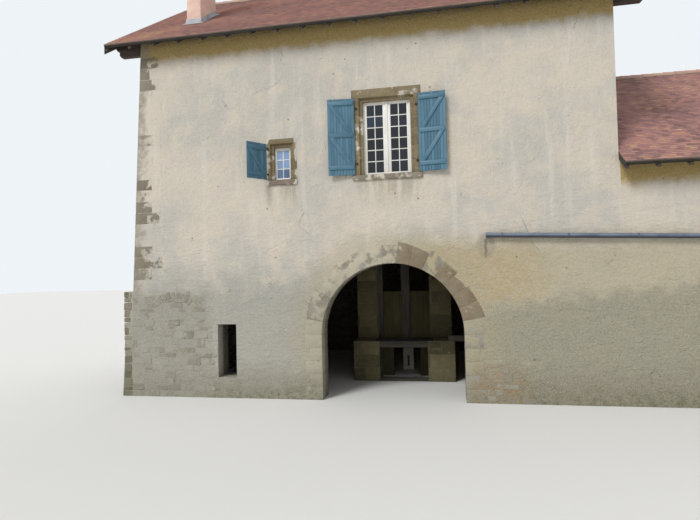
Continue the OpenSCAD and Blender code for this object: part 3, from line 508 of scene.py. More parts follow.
def chimneyFinish(name):
    finish, look = Finish(name), chimneyLook
    medium = finish.noise(finish.place, 2.6, 5.0, 0.65)
    cloud = finish.noise(finish.place, 9.0, 5.0, 0.7)
    grit = finish.noise(finish.place, 44.0, 4.0, 0.7)
    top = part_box("chimney")[1].z
    soot = (finish.along(finish.place)[2] + medium * 0.5).step(top - look["sootDeep"], top + 0.1)
    colour = finish.coats(look["peach"], (medium.step(0.38, 0.62), look["dull"]),
                          (cloud.step(0.54, 0.7) * 0.5, look["brown"]),
                          (grit.step(0.55, 0.75) * 0.3, look["grit"]), (soot * 0.6, look["soot"]))
    return finish.close(colour, cloud * 0.1 + 0.82, medium * 0.015 + cloud * 0.012 + grit * 0.004)


greyStops = ((0.0, 180, 177, 164), (0.3, 158, 155, 140), (0.55, 140, 135, 118), (0.8, 122, 114, 96),
             (1.0, 102, 94, 78))
rubbleStops = ((0.0, 174, 172, 162), (0.3, 162, 159, 148), (0.55, 150, 147, 134), (0.8, 138, 133, 119),
               (1.0, 122, 115, 100))
cornerStops = ((0.0, 168, 163, 150), (0.3, 152, 146, 132), (0.6, 136, 129, 114), (0.85, 122, 114, 98),
               (1.0, 98, 90, 76))
archStops = ((0.0, 182, 180, 170), (0.25, 160, 156, 144), (0.5, 138, 132, 118), (0.72, 134, 120, 97),
             (1.0, 112, 96, 76))
ochreStops = ((0.0, 170, 158, 130), (0.35, 150, 138, 108), (0.7, 126, 112, 84), (1.0, 100, 86, 66))
sillStops = ((0.0, 164, 159, 145), (0.35, 146, 140, 124), (0.7, 124, 114, 98), (1.0, 96, 80, 68))
pierStops = ((0.0, 126, 117, 84), (0.4, 100, 94, 66), (0.7, 80, 75, 50), (1.0, 58, 53, 36))
vergeStops = ((0.0, 122, 108, 98), (0.5, 104, 90, 80), (1.0, 84, 71, 63))
jointStops = ((0.0, 176, 169, 150), (0.5, 158, 150, 130), (1.0, 140, 130, 108))
finishes = {  # the material slot of the record, and the finish
    "render": ("render", renderFinish("lime_render")),
    "peach": ("render_peach", chimneyFinish("chimney_render")),
    "greyStone": ("grey_stone", stoneFinish("grey_stones", greyStops, mossTop=2.4)),
    "bareStone": ("grey_stone", stoneFinish("rubble_stones", rubbleStops, cover=0.7, mossTop=1.0)),
    "cornerStone": ("corner_stone", stoneFinish("corner_stones", cornerStops, cover=1.5, ends="corner")),
    "archStone": ("arch_stone", stoneFinish("arch_stones", archStops, cover=1.2)),
    "ochreStone": ("ochre_stone", stoneFinish("window_stones", ochreStops, cover=1.9, ends="window")),
    "sillStone": ("grey_stone", stoneFinish("sill_stones", sillStops, cover=0.6, ends="window")),
    "pierStone": ("grey_stone", stoneFinish("pier_stones", pierStops, mossTop=1.2)),
    "bedding": ("grey_stone", stoneFinish("ridge_mortar", greyStops)),
    "verge": ("grey_stone", stoneFinish("verge_mortar", vergeStops)),
    "joint": ("render", stoneFinish("joint_mortar", jointStops, cover=1.2)),
    "whitePaint": ("white_paint", paintFinish("white_paint", (236, 235, 230), (222, 220, 212),
                                              (170, 160, 142), 0.1)),
    "bluePaint": ("blue_paint", paintFinish("blue_paint", (62, 104, 124), (82, 122, 142),
                                            (136, 142, 136), 0.3)),
    "glass": ("glass", glassFinish("window_glass", (0.0, 14, 17, 22), (0.45, 26, 34, 46), (0.7, 58, 82, 118),
                                   (1.0, 142, 170, 210))),
    "iron": ("iron", metalFinish("old_iron", (52, 48, 46), (92, 62, 44), 0.6, 0.5, 9.0)),
    "lead": ("lead", metalFinish("lead", (178, 181, 186), (136, 140, 146), 0.5, 0.1, 3.0)),
    "zinc": ("zinc", metalFinish("zinc", (118, 128, 146), (92, 100, 114), 0.34, 0.2, 2.2, 0.75)),
    "bracket": ("iron", metalFinish("bracket_metal", (88, 94, 104), (74, 64, 56), 0.5, 0.35, 7.0)),
    "floorBoard": ("floor_board", timberFinish("floor_boards", (150, 122, 88), (128, 102, 74), (84, 64, 46))),
    "paleTimber": ("old_timber", timberFinish("eave_timber", (82, 74, 64), (66, 58, 50), (40, 33, 28))),
    # a dark stained board, made darker still as painted shade under the tiles' edge
    "shadedEaveBoard": ("old_timber", timberFinish("eave_board", (30, 25, 21), (24, 20, 17), (16, 13, 11))),
    "bargeTimber": ("old_timber", timberFinish("barge_timber", (100, 90, 78), (80, 70, 60), (48, 40, 35))),
    "darkTimber": ("old_timber", timberFinish("dark_timber", (84, 68, 62), (66, 52, 48), (38, 30, 28))),
    "greyTimber": ("grey_timber", timberFinish("wet_timber", (94, 88, 80), (74, 68, 60), (42, 37, 32), 0.6)),
    "panelBoard": ("panel_board", timberFinish("panel_boards", (96, 91, 58), (82, 77, 46),
                                               (48, 44, 28), 0.8)),
    "clayTile": ("clay_tile", tileFinish("clay_tiles")),
}
print("finishes made,", len(finishes))


# Shapes

sharpest = math.radians(20)
mergeDistance = 0.00002
noise.seed_set(7)  # without a seed noise_vector follows the clock


def clamped(value):
    return min(1.0, max(0.0, value))


def drift(*at):
    return noise.noise(Vector(at))


def lengths(start, stop, spread, dice, least=0.0):  # pieces of varied length, laid end to end
    while start < stop - least:
        end = min(start + dice.uniform(*spread), stop)
        yield start, end
        start = end


def pulled(grown):
    return [item for item in grown["geom"] if isinstance(item, bmesh.types.BMVert)]


def eased(bm, edge=0.0, segments=1, wobble=0.0, dice=None):  # corners shaken, then sharp edges beveled
    if wobble:
        for vert in bm.verts:
            vert.co += Vector([dice.uniform(-wobble, wobble) for _ in range(3)])
    if edge:
        sharp = [line for line in bm.edges if line.calc_face_angle(0.0) > sharpest]
        bmesh.ops.bevel(bm, geom=sharp, offset=edge, offset_type="OFFSET", segments=segments, profile=0.5,
                        affect="EDGES", clamp_overlap=True, material=-1)
    return bm


def block(low, high, *wear):
    low, high = Vector(low), Vector(high)
    bm = bmesh.new()
    bmesh.ops.create_cube(bm, size=1.0)
    bmesh.ops.scale(bm, vec=high - low, verts=bm.verts)
    bmesh.ops.translate(bm, vec=(low + high) / 2, verts=bm.verts)
    return eased(bm, *wear)


def prism(outline, near, far, *wear):
    bm = bmesh.new()
    face = bm.faces.new([bm.verts.new((x, near, z)) for x, z in outline])
    grown = bmesh.ops.extrude_face_region(bm, geom=[face])
    bmesh.ops.translate(bm, vec=(0, far - near, 0), verts=pulled(grown))
    bmesh.ops.recalc_face_normals(bm, faces=bm.faces)
    return eased(bm, *wear)


def sliced(bm, step):
    for axis in range(3):
        spots = [vert.co[axis] for vert in bm.verts]
        low, high = min(spots), max(spots)
        count = int((high - low) / step)
        for cut in range(1, count):
            middle, normal = Vector((0, 0, 0)), Vector((0, 0, 0))
            middle[axis], normal[axis] = low + cut * (high - low) / count, 1.0
            bmesh.ops.bisect_plane(bm, geom=bm.verts[:] + bm.edges[:] + bm.faces[:], plane_co=middle,
                                   plane_no=normal)


class Pile:  # small shapes joined in one mesh, each with a tone and a grain of its own
    def __init__(self):
        self.points, self.faces, self.tones, self.grains, self.count = [], [], [], [], 0

    def take(self, bm):
        bm.verts.index_update()
        points = np.array([vert.co[:] for vert in bm.verts])
        faces = [[vert.index for vert in face.verts] for face in bm.faces]
        bm.free()
        return points, faces

    def add(self, shape, tone=0.5, move=None, grainAxis=0):
        points, faces = shape if isinstance(shape, tuple) else self.take(shape)
        self.grains.append(np.roll(points, -grainAxis, axis=1) + tone * 23.0)
        if move is not None:
            points = points @ np.array(move.to_3x3()).T + np.array(move.translation)
            if move.determinant() < 0:
                faces = [face[::-1] for face in faces]
        self.points.append(points)
        self.faces += [[self.count + corner for corner in face] for face in faces]
        self.tones.append(np.full(len(points), tone))
        self.count += len(points)

    def piece(self, name, finish, replaced=(), body="house", smooth=38):
        mesh = bpy.data.meshes.new(name)
        points = np.concatenate(self.points)
        points[:, 2] = np.maximum(points[:, 2], frameLow.z)  # nothing reaches under the ground
        mesh.from_pydata(points.tolist(), [], self.faces)
        tones, grains = np.concatenate(self.tones), np.concatenate(self.grains)
        finishPiece(mesh, tones, grains, finish, replaced, body, smooth)


def finishPiece(mesh, tones, grains, finish, replaced, body="house", smooth=38):
    drawn = (("tone", "FLOAT", "value", tones), ("grain", "FLOAT_VECTOR", "vector", grains))
    for label, kind, key, values in drawn:
        mesh.attributes.new(label, kind, "POINT").data.foreach_set(key, values.astype(np.float32).ravel())
    slot, material = finishes[finish]
    mesh.materials.clear()
    mesh.materials.append(material)
    if smooth:
        mesh.shade_smooth()
        mesh.set_sharp_from_angle(angle=math.radians(smooth))
    made = linked(mesh.name, mesh)
    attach(made, body)
    if replaced:
        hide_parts(*replaced)


def islandsOf(bm):
    left, groups = set(bm.verts), []
    while left:
        group, edgeOn = set(), [next(iter(left))]
        while edgeOn:
            vert = edgeOn.pop()
            if vert not in group:
                group.add(vert)
                edgeOn += [line.other_vert(vert) for line in vert.link_edges]
        left -= group
        groups.append(sorted(group, key=lambda vert: vert.index))
    return sorted(groups, key=lambda group: group[0].index)


def mergedCopy(node):
    bm = bmesh.new()
    bm.from_mesh(frame["nodes"][node].data)
    bmesh.ops.remove_doubles(bm, verts=bm.verts, dist=mergeDistance)
    return bm


def dressed(node, name, finish, edge, axis=(1, 0, 0), step=0.0, rough=0.0, segments=1):
    # A copy of a node's solids with worn edges, and with its grain along the given axis
    bm = mergedCopy(node)
    bmesh.ops.dissolve_limit(bm, angle_limit=math.radians(1.5), verts=bm.verts, edges=bm.edges)
    eased(bm, edge, segments)
    if step:
        sliced(bm, step)
    bm.verts.index_update()
    tones, grains = np.zeros(len(bm.verts)), np.zeros((len(bm.verts), 3))
    lengthwise = Vector(axis).normalized()
    across = Vector((0, 0, 1)) if abs(lengthwise.z) < 0.9 else Vector((0, 1, 0))
    sideways = lengthwise.cross(across).normalized()
    ways = (lengthwise, sideways, sideways.cross(lengthwise))
    dice = random.Random(len(bm.verts))
    for group in islandsOf(bm):
        tone = dice.random()
        for vert in group:
            tones[vert.index] = tone
            grains[vert.index] = [vert.co.dot(way) + tone * 23.0 for way in ways]
    if rough:
        for vert in bm.verts:
            vert.co += noise.noise_vector(vert.co * 3.0) * rough
            vert.co.z = max(vert.co.z, frameLow.z)
    mesh = bpy.data.meshes.new(name)
    bm.to_mesh(mesh)
    bm.free()
    finishPiece(mesh, tones, grains, finish, (node,))


# CAD nodes that stay as they are, with a finish

kept = {node: "render" for node in frame["nodes"] if "wall" in node}
kept |= {"chimney_flashing": "lead", "drain_pipe": "zinc", "pipe_brackets": "bracket",
         "shutter_pintles": "iron", "left_footing": "greyStone", "sluice_piers": "pierStone"}
for node, finish in kept.items():
    mesh = frame["nodes"][node].data
    mesh.materials.clear()
    mesh.materials.append(finishes[finish][1])
print("walls finished")


# Bare rubble at the foot of the walls, with the head of a blocked arch in it

rubbleSizes = {"rowHigh": (0.12, 0.25), "wide": (0.16, 0.44), "deep": 0.09, "gap": 0.010, "edge": 0.014,
               "wobble": 0.010, "proud": 0.012, "least": 0.05, "shown": 0.06}
bareFeet = ({"xs": (-7.70, -4.99), "zs": (0.0, 3.07), "ends": (-5.0, -5.35), "narrowFrom": 2.1, "top": 3.05,
             "fade": 0.35, "sway": (1.3, 4.0, 0.6), "patches": (1.9, 6.0, 0.75)},
            {"xs": (2.45, 3.9), "zs": (0.0, 1.3), "ends": (3.5, 3.5), "narrowFrom": 0.0, "top": 1.15,
             "fade": 0.25, "sway": (1.7, 9.0, 0.5), "patches": (2.3, 2.0, 0.35)})
blindArch = {"middle": -6.36, "half": 0.48, "rise": 0.22, "spring": 2.62, "high": 0.2, "stones": 9,
             "gap": 0.012, "proud": 0.016, "deep": 0.08, "edge": 0.014, "wobble": 0.008}


def bareShare(foot, x, z):  # 1 where the render has come off and 0 where it has stayed
    scale, layer, rising = foot["sway"]
    sway = drift(x * scale, z * scale, layer) * 0.5
    scale, layer, base = foot["patches"]
    patchy = base + drift(x * scale, z * scale, layer) * 2.4
    end = foot["ends"][z >= foot["narrowFrom"]]
    return clamped(min(patchy, (end - x + sway) / 0.5, (foot["top"] - z + sway * rising) / foot["fade"]))


def rubble(pile, place, xs, zs, dice, foot=None):
    s, gap = rubbleSizes, rubbleSizes["gap"] / 2
    for low, top in lengths(*zs, s["rowHigh"], dice, s["least"]):
        for left, right in lengths(*xs, s["wide"], dice, s["least"]):
            share = bareShare(foot, (left + right) / 2, (low + top) / 2) if foot else 1.0
            out = share * dice.uniform(0.45, 1.0)
            if out > s["shown"]:
                tone = dice.random()
                edge = min(s["edge"], (right - left) / 5, (top - low) / 5)
                stone = block((left + gap, -out * s["proud"] * (0.3 + tone * 0.7), low + gap),
                              (right - gap, s["deep"], top - gap), edge, 1, s["wobble"], dice)
                pile.add(stone, tone, place)


dice = random.Random(11)
bareStones, footStones = Pile(), Pile()
for foot in bareFeet:
    rubble(bareStones, frontWall, foot["xs"], foot["zs"], dice, foot)
s = blindArch
archRound = (s["half"] ** 2 + s["rise"] ** 2) / (2 * s["rise"])
archSpread = 2 * math.asin(s["half"] / archRound)
wide = archRound * archSpread / s["stones"] - s["gap"]
for i in range(s["stones"]):
    turn = (i + 0.5) / s["stones"] * archSpread - archSpread / 2
    hub = shifted(s["middle"], 0, s["spring"] + s["rise"] - archRound)
    stone = block((-wide / 2, -s["proud"], archRound), (wide / 2, s["deep"], archRound + s["high"]),
                  s["edge"], 1, s["wobble"], dice)
    bareStones.add(stone, dice.uniform(0.5, 1.0), frontWall @ hub @ spun("Y", turn))
bareStones.piece("bare_wall_stones", "bareStone")

footTop = gableSide["footingHigh"]
footLean = math.atan2(gableSide["footingMore"] + gableSide["lean"] * footTop, footTop)
footX = cornerX(0) - gableSide["footingOut"] - gableSide["footingMore"]
footPlane = Matrix(((0, math.cos(footLean), math.sin(footLean), axisX + footX), (-1, 0, 0, 0),
                    (0, -math.sin(footLean), math.cos(footLean), 0), (0, 0, 0, 1)))
rubble(footStones, footPlane, (-rearY, -faceY), (0.0, footTop), dice)
rubble(footStones, frontWall, (footX + 0.06, cornerX(footTop / 2 - 0.035) + 0.02), (0.0, footTop), dice)
footStones.piece("footing_stones", "greyStone")
print("rubble laid")


# Corner stones: rough quoins, some under the render

quoins = {"high": 0.33, "long": 0.62, "short": 0.34, "joint": 0.012, "edge": 0.014, "proud": 0.004,
          "coveredProud": 0.0015, "wobble": 0.005, "taper": 0.01, "mortarIn": 0.003, "mortarOut": 0.004,
          "bare": {1: 0.65, 2: 0.85, 3: 0.8, 6: 0.85, 7: 0.75, 9: 0.95, 13: 0.55, 18: 0.75, 19: 0.7,
                   20: 0.85}}
cornerPile, cornerBed = Pile(), Pile()
for i in range(int((wallTop - footTop) / quoins["high"])):
    low = footTop + i * quoins["high"]
    top = low + quoins["high"]
    along, back = (quoins["long"], quoins["short"]) if i % 2 == 0 else (quoins["short"], quoins["long"])
    shown = quoins["bare"].get(i, dice.uniform(0.0, 0.3))
    foot, proud, trim, wear = low, quoins["coveredProud"], 0.0, ()
    if shown > 0.5:
        foot, proud, trim = low + quoins["joint"], quoins["proud"], dice.uniform(0.0, 0.10)
        wear = (quoins["edge"], 2, quoins["wobble"], dice)
    inner = gableSide["top"] + along - trim
    outline = [(cornerX(foot) - proud, foot), (inner, foot), (inner - quoins["taper"], top),
               (cornerX(top) - proud, top)]
    cornerPile.add(prism(outline, -proud, back - 0.02, *wear), shown, frontWall)
    near, beyond = quoins["mortarIn"], gableSide["top"] + along + quoins["mortarOut"]
    outline = [(cornerX(low) + near, low), (beyond, low), (beyond, top), (cornerX(top) + near, top)]
    cornerBed.add(prism(outline, near, back + quoins["mortarOut"]), 0.5, frontWall)
cornerPile.piece("quoin_stones", "cornerStone", ("corner_quoins",))
cornerBed.piece("quoin_mortar", "render")
print("corner stones laid")


# Arch: long and short stones by turns, in two rings one behind the other, on a bed of mortar

arch = {"radius": 1.93, "spring": 1.78, "long": 0.50, "short": 0.36, "joint": 0.012, "jambGap": 0.001,
        "proud": 0.006, "crown": 0.008, "courses": 5, "thick": 0.70, "front": (0.40, 0.30), "edge": 0.010,
        "paleEdge": 0.005, "jambEdge": 0.004, "bedUnder": 0.012, "bedIn": 0.004,
        "tones": (0.2, 0.85, 0.95, 0.9, 0.85, 0.5, 0.9, 0.85, 0.45, 0.35, 0.3, 0.4, 0.35, 0.3, 0.5, 0.5, 0.2),
        "reach": ((0.50, 0.50), (0.58, 0.52), (0.52, 0.44), (0.42, 0.37), (0.47, 0.44), (0.46, 0.62),
                  (0.45, 0.53), (0.53, 0.58), (0.47, 0.47), (0.42, 0.40), (0.40, 0.44), (0.42, 0.40),
                  (0.38, 0.42), (0.40, 0.40), (0.50, 0.50), (0.52, 0.46), (0.40, 0.40))}


def archReach(i):
    return arch["radius"] + (arch["long"] if i % 2 == 0 else arch["short"])


def ringPoint(radius, angle):
    return radius * math.cos(angle), arch["spring"] + radius * math.sin(angle)


archPile, archBed = Pile(), Pile()
step, bedRadius = math.pi / len(arch["tones"]), arch["radius"] + arch["bedUnder"]
gap, bedBack = arch["joint"] / 2, arch["thick"] - arch["bedIn"]
for i, (tone, reach) in enumerate(zip(arch["tones"], arch["reach"])):
    start, end = i * step + gap / arch["radius"], (i + 1) * step - gap / arch["radius"]
    near, far = (arch["radius"] + out for out in reach)
    outline = [ringPoint(arch["radius"], start + (end - start) * k / 4) for k in range(5)]
    outline += [ringPoint(far, end), ringPoint((near + far) / 2 + arch["crown"], (start + end) / 2),
                ringPoint(near, start)]
    split = arch["front"][i % 2]
    share, edge = (0.8, arch["edge"]) if tone > 0.5 else (0.2, arch["paleEdge"])
    archPile.add(prism(outline, -arch["proud"] * share, split - gap, edge, 2), tone, frontWall)
    archPile.add(prism(outline, split + gap, arch["thick"], arch["edge"], 1), tone, frontWall)
    bed = [ringPoint(bedRadius, (i + k / 3) * step) for k in range(4)]
    bed += [ringPoint(archReach(i), (i + k / 3) * step) for k in range(3, -1, -1)]
    archBed.add(prism(bed, arch["bedIn"], bedBack), tone, frontWall)
gap = arch["jambGap"]
for side in (1, -1):
    for i in range(arch["courses"]):
        low, high = (arch["spring"] * (i + k) / arch["courses"] for k in (0, 1))
        left, right = sorted((side * arch["radius"], side * (archReach(i) - dice.uniform(0.0, 0.04))))
        tone = dice.uniform(0.0, 0.4 if side > 0 else 0.25)
        split = arch["front"][i % 2]
        for near, far in ((-2 * gap, split - gap), (split + gap, arch["thick"])):
            archPile.add(block((left, near, low + gap), (right, far, high - gap), arch["jambEdge"], 2), tone,
                         frontWall)
        left, right = sorted((side * bedRadius, side * archReach(i)))
        archBed.add(block((left, arch["bedIn"], low), (right, bedBack, high)), tone, frontWall)
archPile.piece("arch_voussoirs", "archStone", ("arch_ring",))
archBed.piece("arch_mortar", "joint")
print("arch built")


# Windows: stone surrounds, joinery and panes

bigWindow = {"wide": 1.31, "high": 2.03, "jamb": 0.205, "lintel": 0.24, "courses": 5, "frame": 0.045,
             "leafStile": 0.06, "middle": 0.21, "rail": 0.08, "rows": 6, "leaves": 2, "warm": 0.7}
smallWindow = {"wide": 0.48, "high": 0.94, "jamb": 0.12, "lintel": 0.14, "courses": 3, "frame": 0.028,
               "leafStile": 0.032, "rail": 0.08, "rows": 3, "leaves": 1, "warm": 0.78}
windows = {"sill": 6.13, "rebate": 0.09, "rebateDeep": 0.062, "deep": 0.30, "proud": 0.008, "joint": 0.008,
           "bedIn": 0.006, "frameBack": 0.150, "frameDeep": 0.060, "leafBack": 0.008, "barBack": 0.006,
           "barDeep": 0.030, "bar": 0.026, "tongue": 0.01, "glass": 0.004, "glassBack": 0.022, "tilt": 0.008,
           "coverWide": 0.048, "coverOut": 0.012, "dripOut": 0.022, "dripHigh": 0.03, "small": -2.978,
           "rear": (-2.4, 2.4)}


def jambOutline(size, side, inset):  # drawn flat, with the wall's depth as its height, and stood up later
    half, rebate = size["wide"] / 2 + inset, windows["rebate"]
    outer, near = half + rebate + size["jamb"] - 2 * inset, inset - windows["proud"]
    back, deep = windows["rebateDeep"] + inset, windows["deep"]
    points = ((outer, near), (half + rebate, near), (half + rebate, back), (half, back), (half, deep),
              (outer, deep))
    return [(side * across, -into) for across, into in points]


def surroundStones(pile, bed, size, x, place, dice):
    gap, half, warm, deep = windows["joint"] / 2, size["wide"] / 2, size["warm"], windows["deep"]
    span = size["high"] + windows["rebate"]
    top = windows["sill"] + span
    lift = place @ (shifted(x, 0, windows["sill"]) @ spun("X", math.pi / 2))
    for side in (-1, 1):
        cuts = sorted((i + dice.uniform(-0.25, 0.25)) / size["courses"] for i in range(1, size["courses"]))
        heights = [0.0] + cuts + [1.0]
        for low, high in zip(heights, heights[1:]):
            stone = prism(jambOutline(size, side, 0.0), low * span + gap, high * span - gap,
                          0.007, 2, 0.002, dice)
            pile.add(stone, clamped(warm + dice.uniform(-0.25, 0.25)), lift)
        bed.add(prism(jambOutline(size, side, windows["bedIn"]), 0.0, span), 0.9, lift)
    outer = half + windows["rebate"] + size["jamb"]
    pile.add(block((x - outer, -windows["proud"], top), (x + outer, deep, top + size["lintel"]),
                   0.009, 2, 0.003, dice), warm, place)
    pile.add(block((x - half, windows["rebateDeep"], top - windows["rebate"]), (x + half, deep, top + 0.01),
                   0.006, 2), warm, place)


def joinery(pile, panes, size, x, place, dice, glow):
    w, half, rail, inner = windows, size["wide"] / 2, size["rail"], size["wide"] / 2 - size["frame"]
    near, far = w["frameBack"], w["frameBack"] + w["frameDeep"]
    sill, top, bar, tongue = w["sill"], w["sill"] + size["high"], w["bar"] / 2, w["tongue"]

    def wood(xs, depths, zs, edge=0.005, grainAxis=0, tone=None):
        shape = block(*zip(xs, depths, zs), edge, 2)
        pile.add(shape, dice.random() if tone is None else tone, place, grainAxis)

    for side in (-1, 1):
        wood(sorted((x + side * half, x + side * inner)), (near, far), (sill, top), 0.004, 2)
    for zs in ((sill, sill + rail * 0.45), (top - rail * 0.4, top)):
        wood((x - inner, x + inner), (near, far), zs, 0.004)
    spans = [(x - inner, x + inner)]
    if size["leaves"] == 2:
        spans = [(x - inner, x - 0.001), (x + 0.001, x + inner)]
        wood((x - w["coverWide"] / 2, x + w["coverWide"] / 2), (near - w["coverOut"], near + 0.02),
             (sill + rail * 0.45, top - rail * 0.4), 0.009, 2, 0.4)
    leaf, low, high = near + w["leafBack"], sill + rail * 0.4, top - rail * 0.35
    glassLow, glassHigh = sill + rail, top - rail
    barNear, barFar = leaf + w["barBack"], leaf + w["barBack"] + w["barDeep"]
    rowHigh = (glassHigh - glassLow) / size["rows"]
    for number, (left, right) in enumerate(spans):
        stiles = [size["leafStile"], size["leafStile"]]
        if size["leaves"] == 2:
            stiles[1 - number] = size["middle"] / 2
        glassLeft, glassRight = left + stiles[0], right - stiles[1]
        middle = (glassLeft + glassRight) / 2
        wood((left, glassLeft), (leaf, far), (low, high), 0.005, 2)
        wood((glassRight, right), (leaf, far), (low, high), 0.005, 2)
        for zs in ((low, glassLow), (glassHigh, high)):
            wood((glassLeft, glassRight), (leaf, far), zs)
        wood((left + tongue, right - tongue), (near - w["dripOut"], leaf + tongue),
             (low + 0.004, low + w["dripHigh"]), 0.008)
        wood((middle - bar, middle + bar), (barNear, barFar), (glassLow - tongue, glassHigh + tongue),
             0.006, 2)
        for row in range(1, size["rows"]):
            z = glassLow + row * rowHigh
            wood((glassLeft - tongue, glassRight + tongue), (barNear + 0.001, barFar - 0.001),
                 (z - bar, z + bar), 0.006)
        for row in range(size["rows"]):
            for start, end in ((glassLeft, middle), (middle, glassRight)):
                spot = shifted((start + end) / 2, leaf + w["glassBack"], glassLow + (row + 0.5) * rowHigh)
                tilt = spun("X", dice.uniform(-w["tilt"], w["tilt"]))
                tilt = tilt @ spun("Z", dice.uniform(-w["tilt"], w["tilt"]))
                corner = Vector((end - start, w["glass"], rowHigh)) / 2
                panes.add(block(-corner, corner, 0.0008), glow(row, dice), place @ spot @ tilt)


# painted shade of a dark room behind the glass, with a painted sky reflection on some upper panes
def darkPane(row, dice):
    return 0.12 + dice.uniform(-0.08, 0.12) + (0.25 if row > 3 and dice.random() > 0.5 else 0.0)


# painted sky reflection: pale blue panes, less so in the bottom row
def brightPane(row, dice):
    return (0.78 if row == 0 else 0.97) + dice.uniform(-0.03, 0.03)


dice = random.Random(29)
bigStones, smallStones, stoneBed, bigWood, smallWood, panes = (Pile() for _ in range(6))
for stones, wood, size, x, wall, glow in (
        (bigStones, bigWood, bigWindow, 0.0, frontWall, darkPane),
        (smallStones, smallWood, smallWindow, windows["small"], frontWall, brightPane),
        (smallStones, smallWood, smallWindow, windows["rear"][0], rearWall, darkPane),
        (smallStones, smallWood, smallWindow, windows["rear"][1], rearWall, darkPane)):
    surroundStones(stones, stoneBed, size, x, wall, dice)
    joinery(wood, panes, size, x, wall, dice, glow)
bigStones.piece("big_window_stones", "ochreStone", ("big_window_surround",))
smallStones.piece("small_window_stones", "ochreStone", ("small_window_surrounds",))
stoneBed.piece("window_mortar", "joint")
bigWood.piece("big_window_joinery", "whitePaint", ("big_window_frame",))
smallWood.piece("small_window_joinery", "whitePaint", ("small_window_frames",))
panes.piece("window_panes", "glass", ("window_glass",))
dressed("window_sills", "worn_sills", "sillStone", 0.014, step=0.09, rough=0.009, segments=2)
print("windows built")


# Shutters: grooved boards with ledges and braces inside, straps outside

shutterSizes = {"pinOut": 0.026, "pinSide": 0.060, "gap": 0.007, "play": 0.003, "eye": 0.0133, "pin": 0.0083,
                "strap": 0.006, "strapHigh": 0.042, "strapAt": 0.14, "strapReach": 0.7, "face": 0.0123,
                "board": 0.027, "boardWide": (0.108, 0.082), "groove": 0.0016, "ledge": 0.025,
                "ledgeHigh": 0.110, "ledgeIn": 0.030, "braceCut": 1.15, "nail": (0.005, 0.003),
                "nailApart": 0.05, "rivet": (0.009, 0.006), "rivetSides": 8}
shutters = (("small", smallWindow, windows["small"], -1, 127.0, (0.14, 0.86)),  # side, degrees open, ledges
            ("left", bigWindow, 0.0, -1, 174.0, (0.1, 0.52, 0.94)),
            ("right", bigWindow, 0.0, 1, 174.0, (0.1, 0.52, 0.94)))


def ringShape(inner, outer, high):
    bm = bmesh.new()
    bmesh.ops.create_circle(bm, segments=16, radius=outer)
    inside = bmesh.ops.extrude_edge_only(bm, edges=bm.edges[:])
    bmesh.ops.scale(bm, vec=(inner / outer, inner / outer, 1), verts=pulled(inside))
    grown = bmesh.ops.extrude_face_region(bm, geom=bm.faces[:])
    bmesh.ops.translate(bm, vec=(0, 0, high), verts=pulled(grown))
    bmesh.ops.recalc_face_normals(bm, faces=bm.faces)
    return bm


def rivetShape(radius, high, towards):
    bm = bmesh.new()
    bmesh.ops.create_cone(bm, cap_ends=True, segments=shutterSizes["rivetSides"], radius1=radius,
                          radius2=radius * 0.45, depth=high)
    bmesh.ops.rotate(bm, verts=bm.verts, matrix=Matrix.Rotation(math.radians(90) * towards, 3, "X"))
    return bm


def buildShutter(word, wide, high, ledges, place, dice):
    s = shutterSizes
    wood, iron = Pile(), Pile()
    start, back = s["pinSide"] + s["gap"], s["face"] + s["board"]
    half, groove = s["ledgeHigh"] / 2, s["groove"] / 2
    count = round(wide / s["boardWide"][len(ledges) > 2])
    each = wide / count
    for i in range(count):
        low = (start + i * each + groove, s["face"], dice.uniform(0, s["play"]))
        top = (start + (i + 1) * each - groove, back, high - dice.uniform(0, s["play"]))
        wood.add(block(low, top, 0.005, 1), dice.random(), place, 2)
    left, right = start + s["ledgeIn"], start + wide - s["ledgeIn"]
    levels = [ledge * high for ledge in ledges]
    for level in levels:
        ledge = block((left, back - 0.001, level - half), (right, back + s["ledge"], level + half), 0.006, 2)
        wood.add(ledge, dice.random(), place)
        for i in range(count):
            for lift in (-s["nailApart"] / 2, s["nailApart"] / 2):
                spot = shifted(start + (i + 0.5) * each, back + s["ledge"], level + lift)
                iron.add(rivetShape(*s["nail"], -1), 0.3, place @ spot)
    for below, above in zip(levels, levels[1:]):
        foot, head, cut = below + half - 0.001, above - half + 0.001, s["ledgeHigh"] * s["braceCut"]
        outline = [(left + 0.01, foot), (left + 0.01 + cut, foot), (right - 0.01, head),
                   (right - 0.01 - cut, head)]
        wood.add(prism(outline, back - 0.001, back + s["ledge"] - 0.001, 0.005, 2), dice.random(), place, 2)
    reach, strapHigh, front = start + wide * s["strapReach"], s["strapHigh"], s["face"] - s["strap"]
    outline = [(0.0125, 0), (reach - 0.03, 0.004), (reach - 0.008, 0.012), (reach, strapHigh / 2),
               (reach - 0.008, strapHigh - 0.012), (reach - 0.03, strapHigh - 0.004), (0.0125, strapHigh)]
    for level in (s["strapAt"] * high, (1 - s["strapAt"]) * high):
        lift = place @ shifted(0, 0, level)
        iron.add(ringShape(s["pin"], s["eye"], strapHigh), 0.5, lift)
        iron.add(prism(outline, front, s["face"], 0.0015), 0.5, lift)
        for i in range(count - 1):
            at = start + (i + 0.45) * each
            if at < reach - 0.03:
                iron.add(rivetShape(*s["rivet"], 1), 0.4, lift @ shifted(at, front, strapHigh / 2))
    wood.piece(word + "_shutter_boards", "bluePaint", (word + "_shutter",), word + "_leaf")
    iron.piece(word + "_shutter_straps", "iron", (), word + "_leaf")


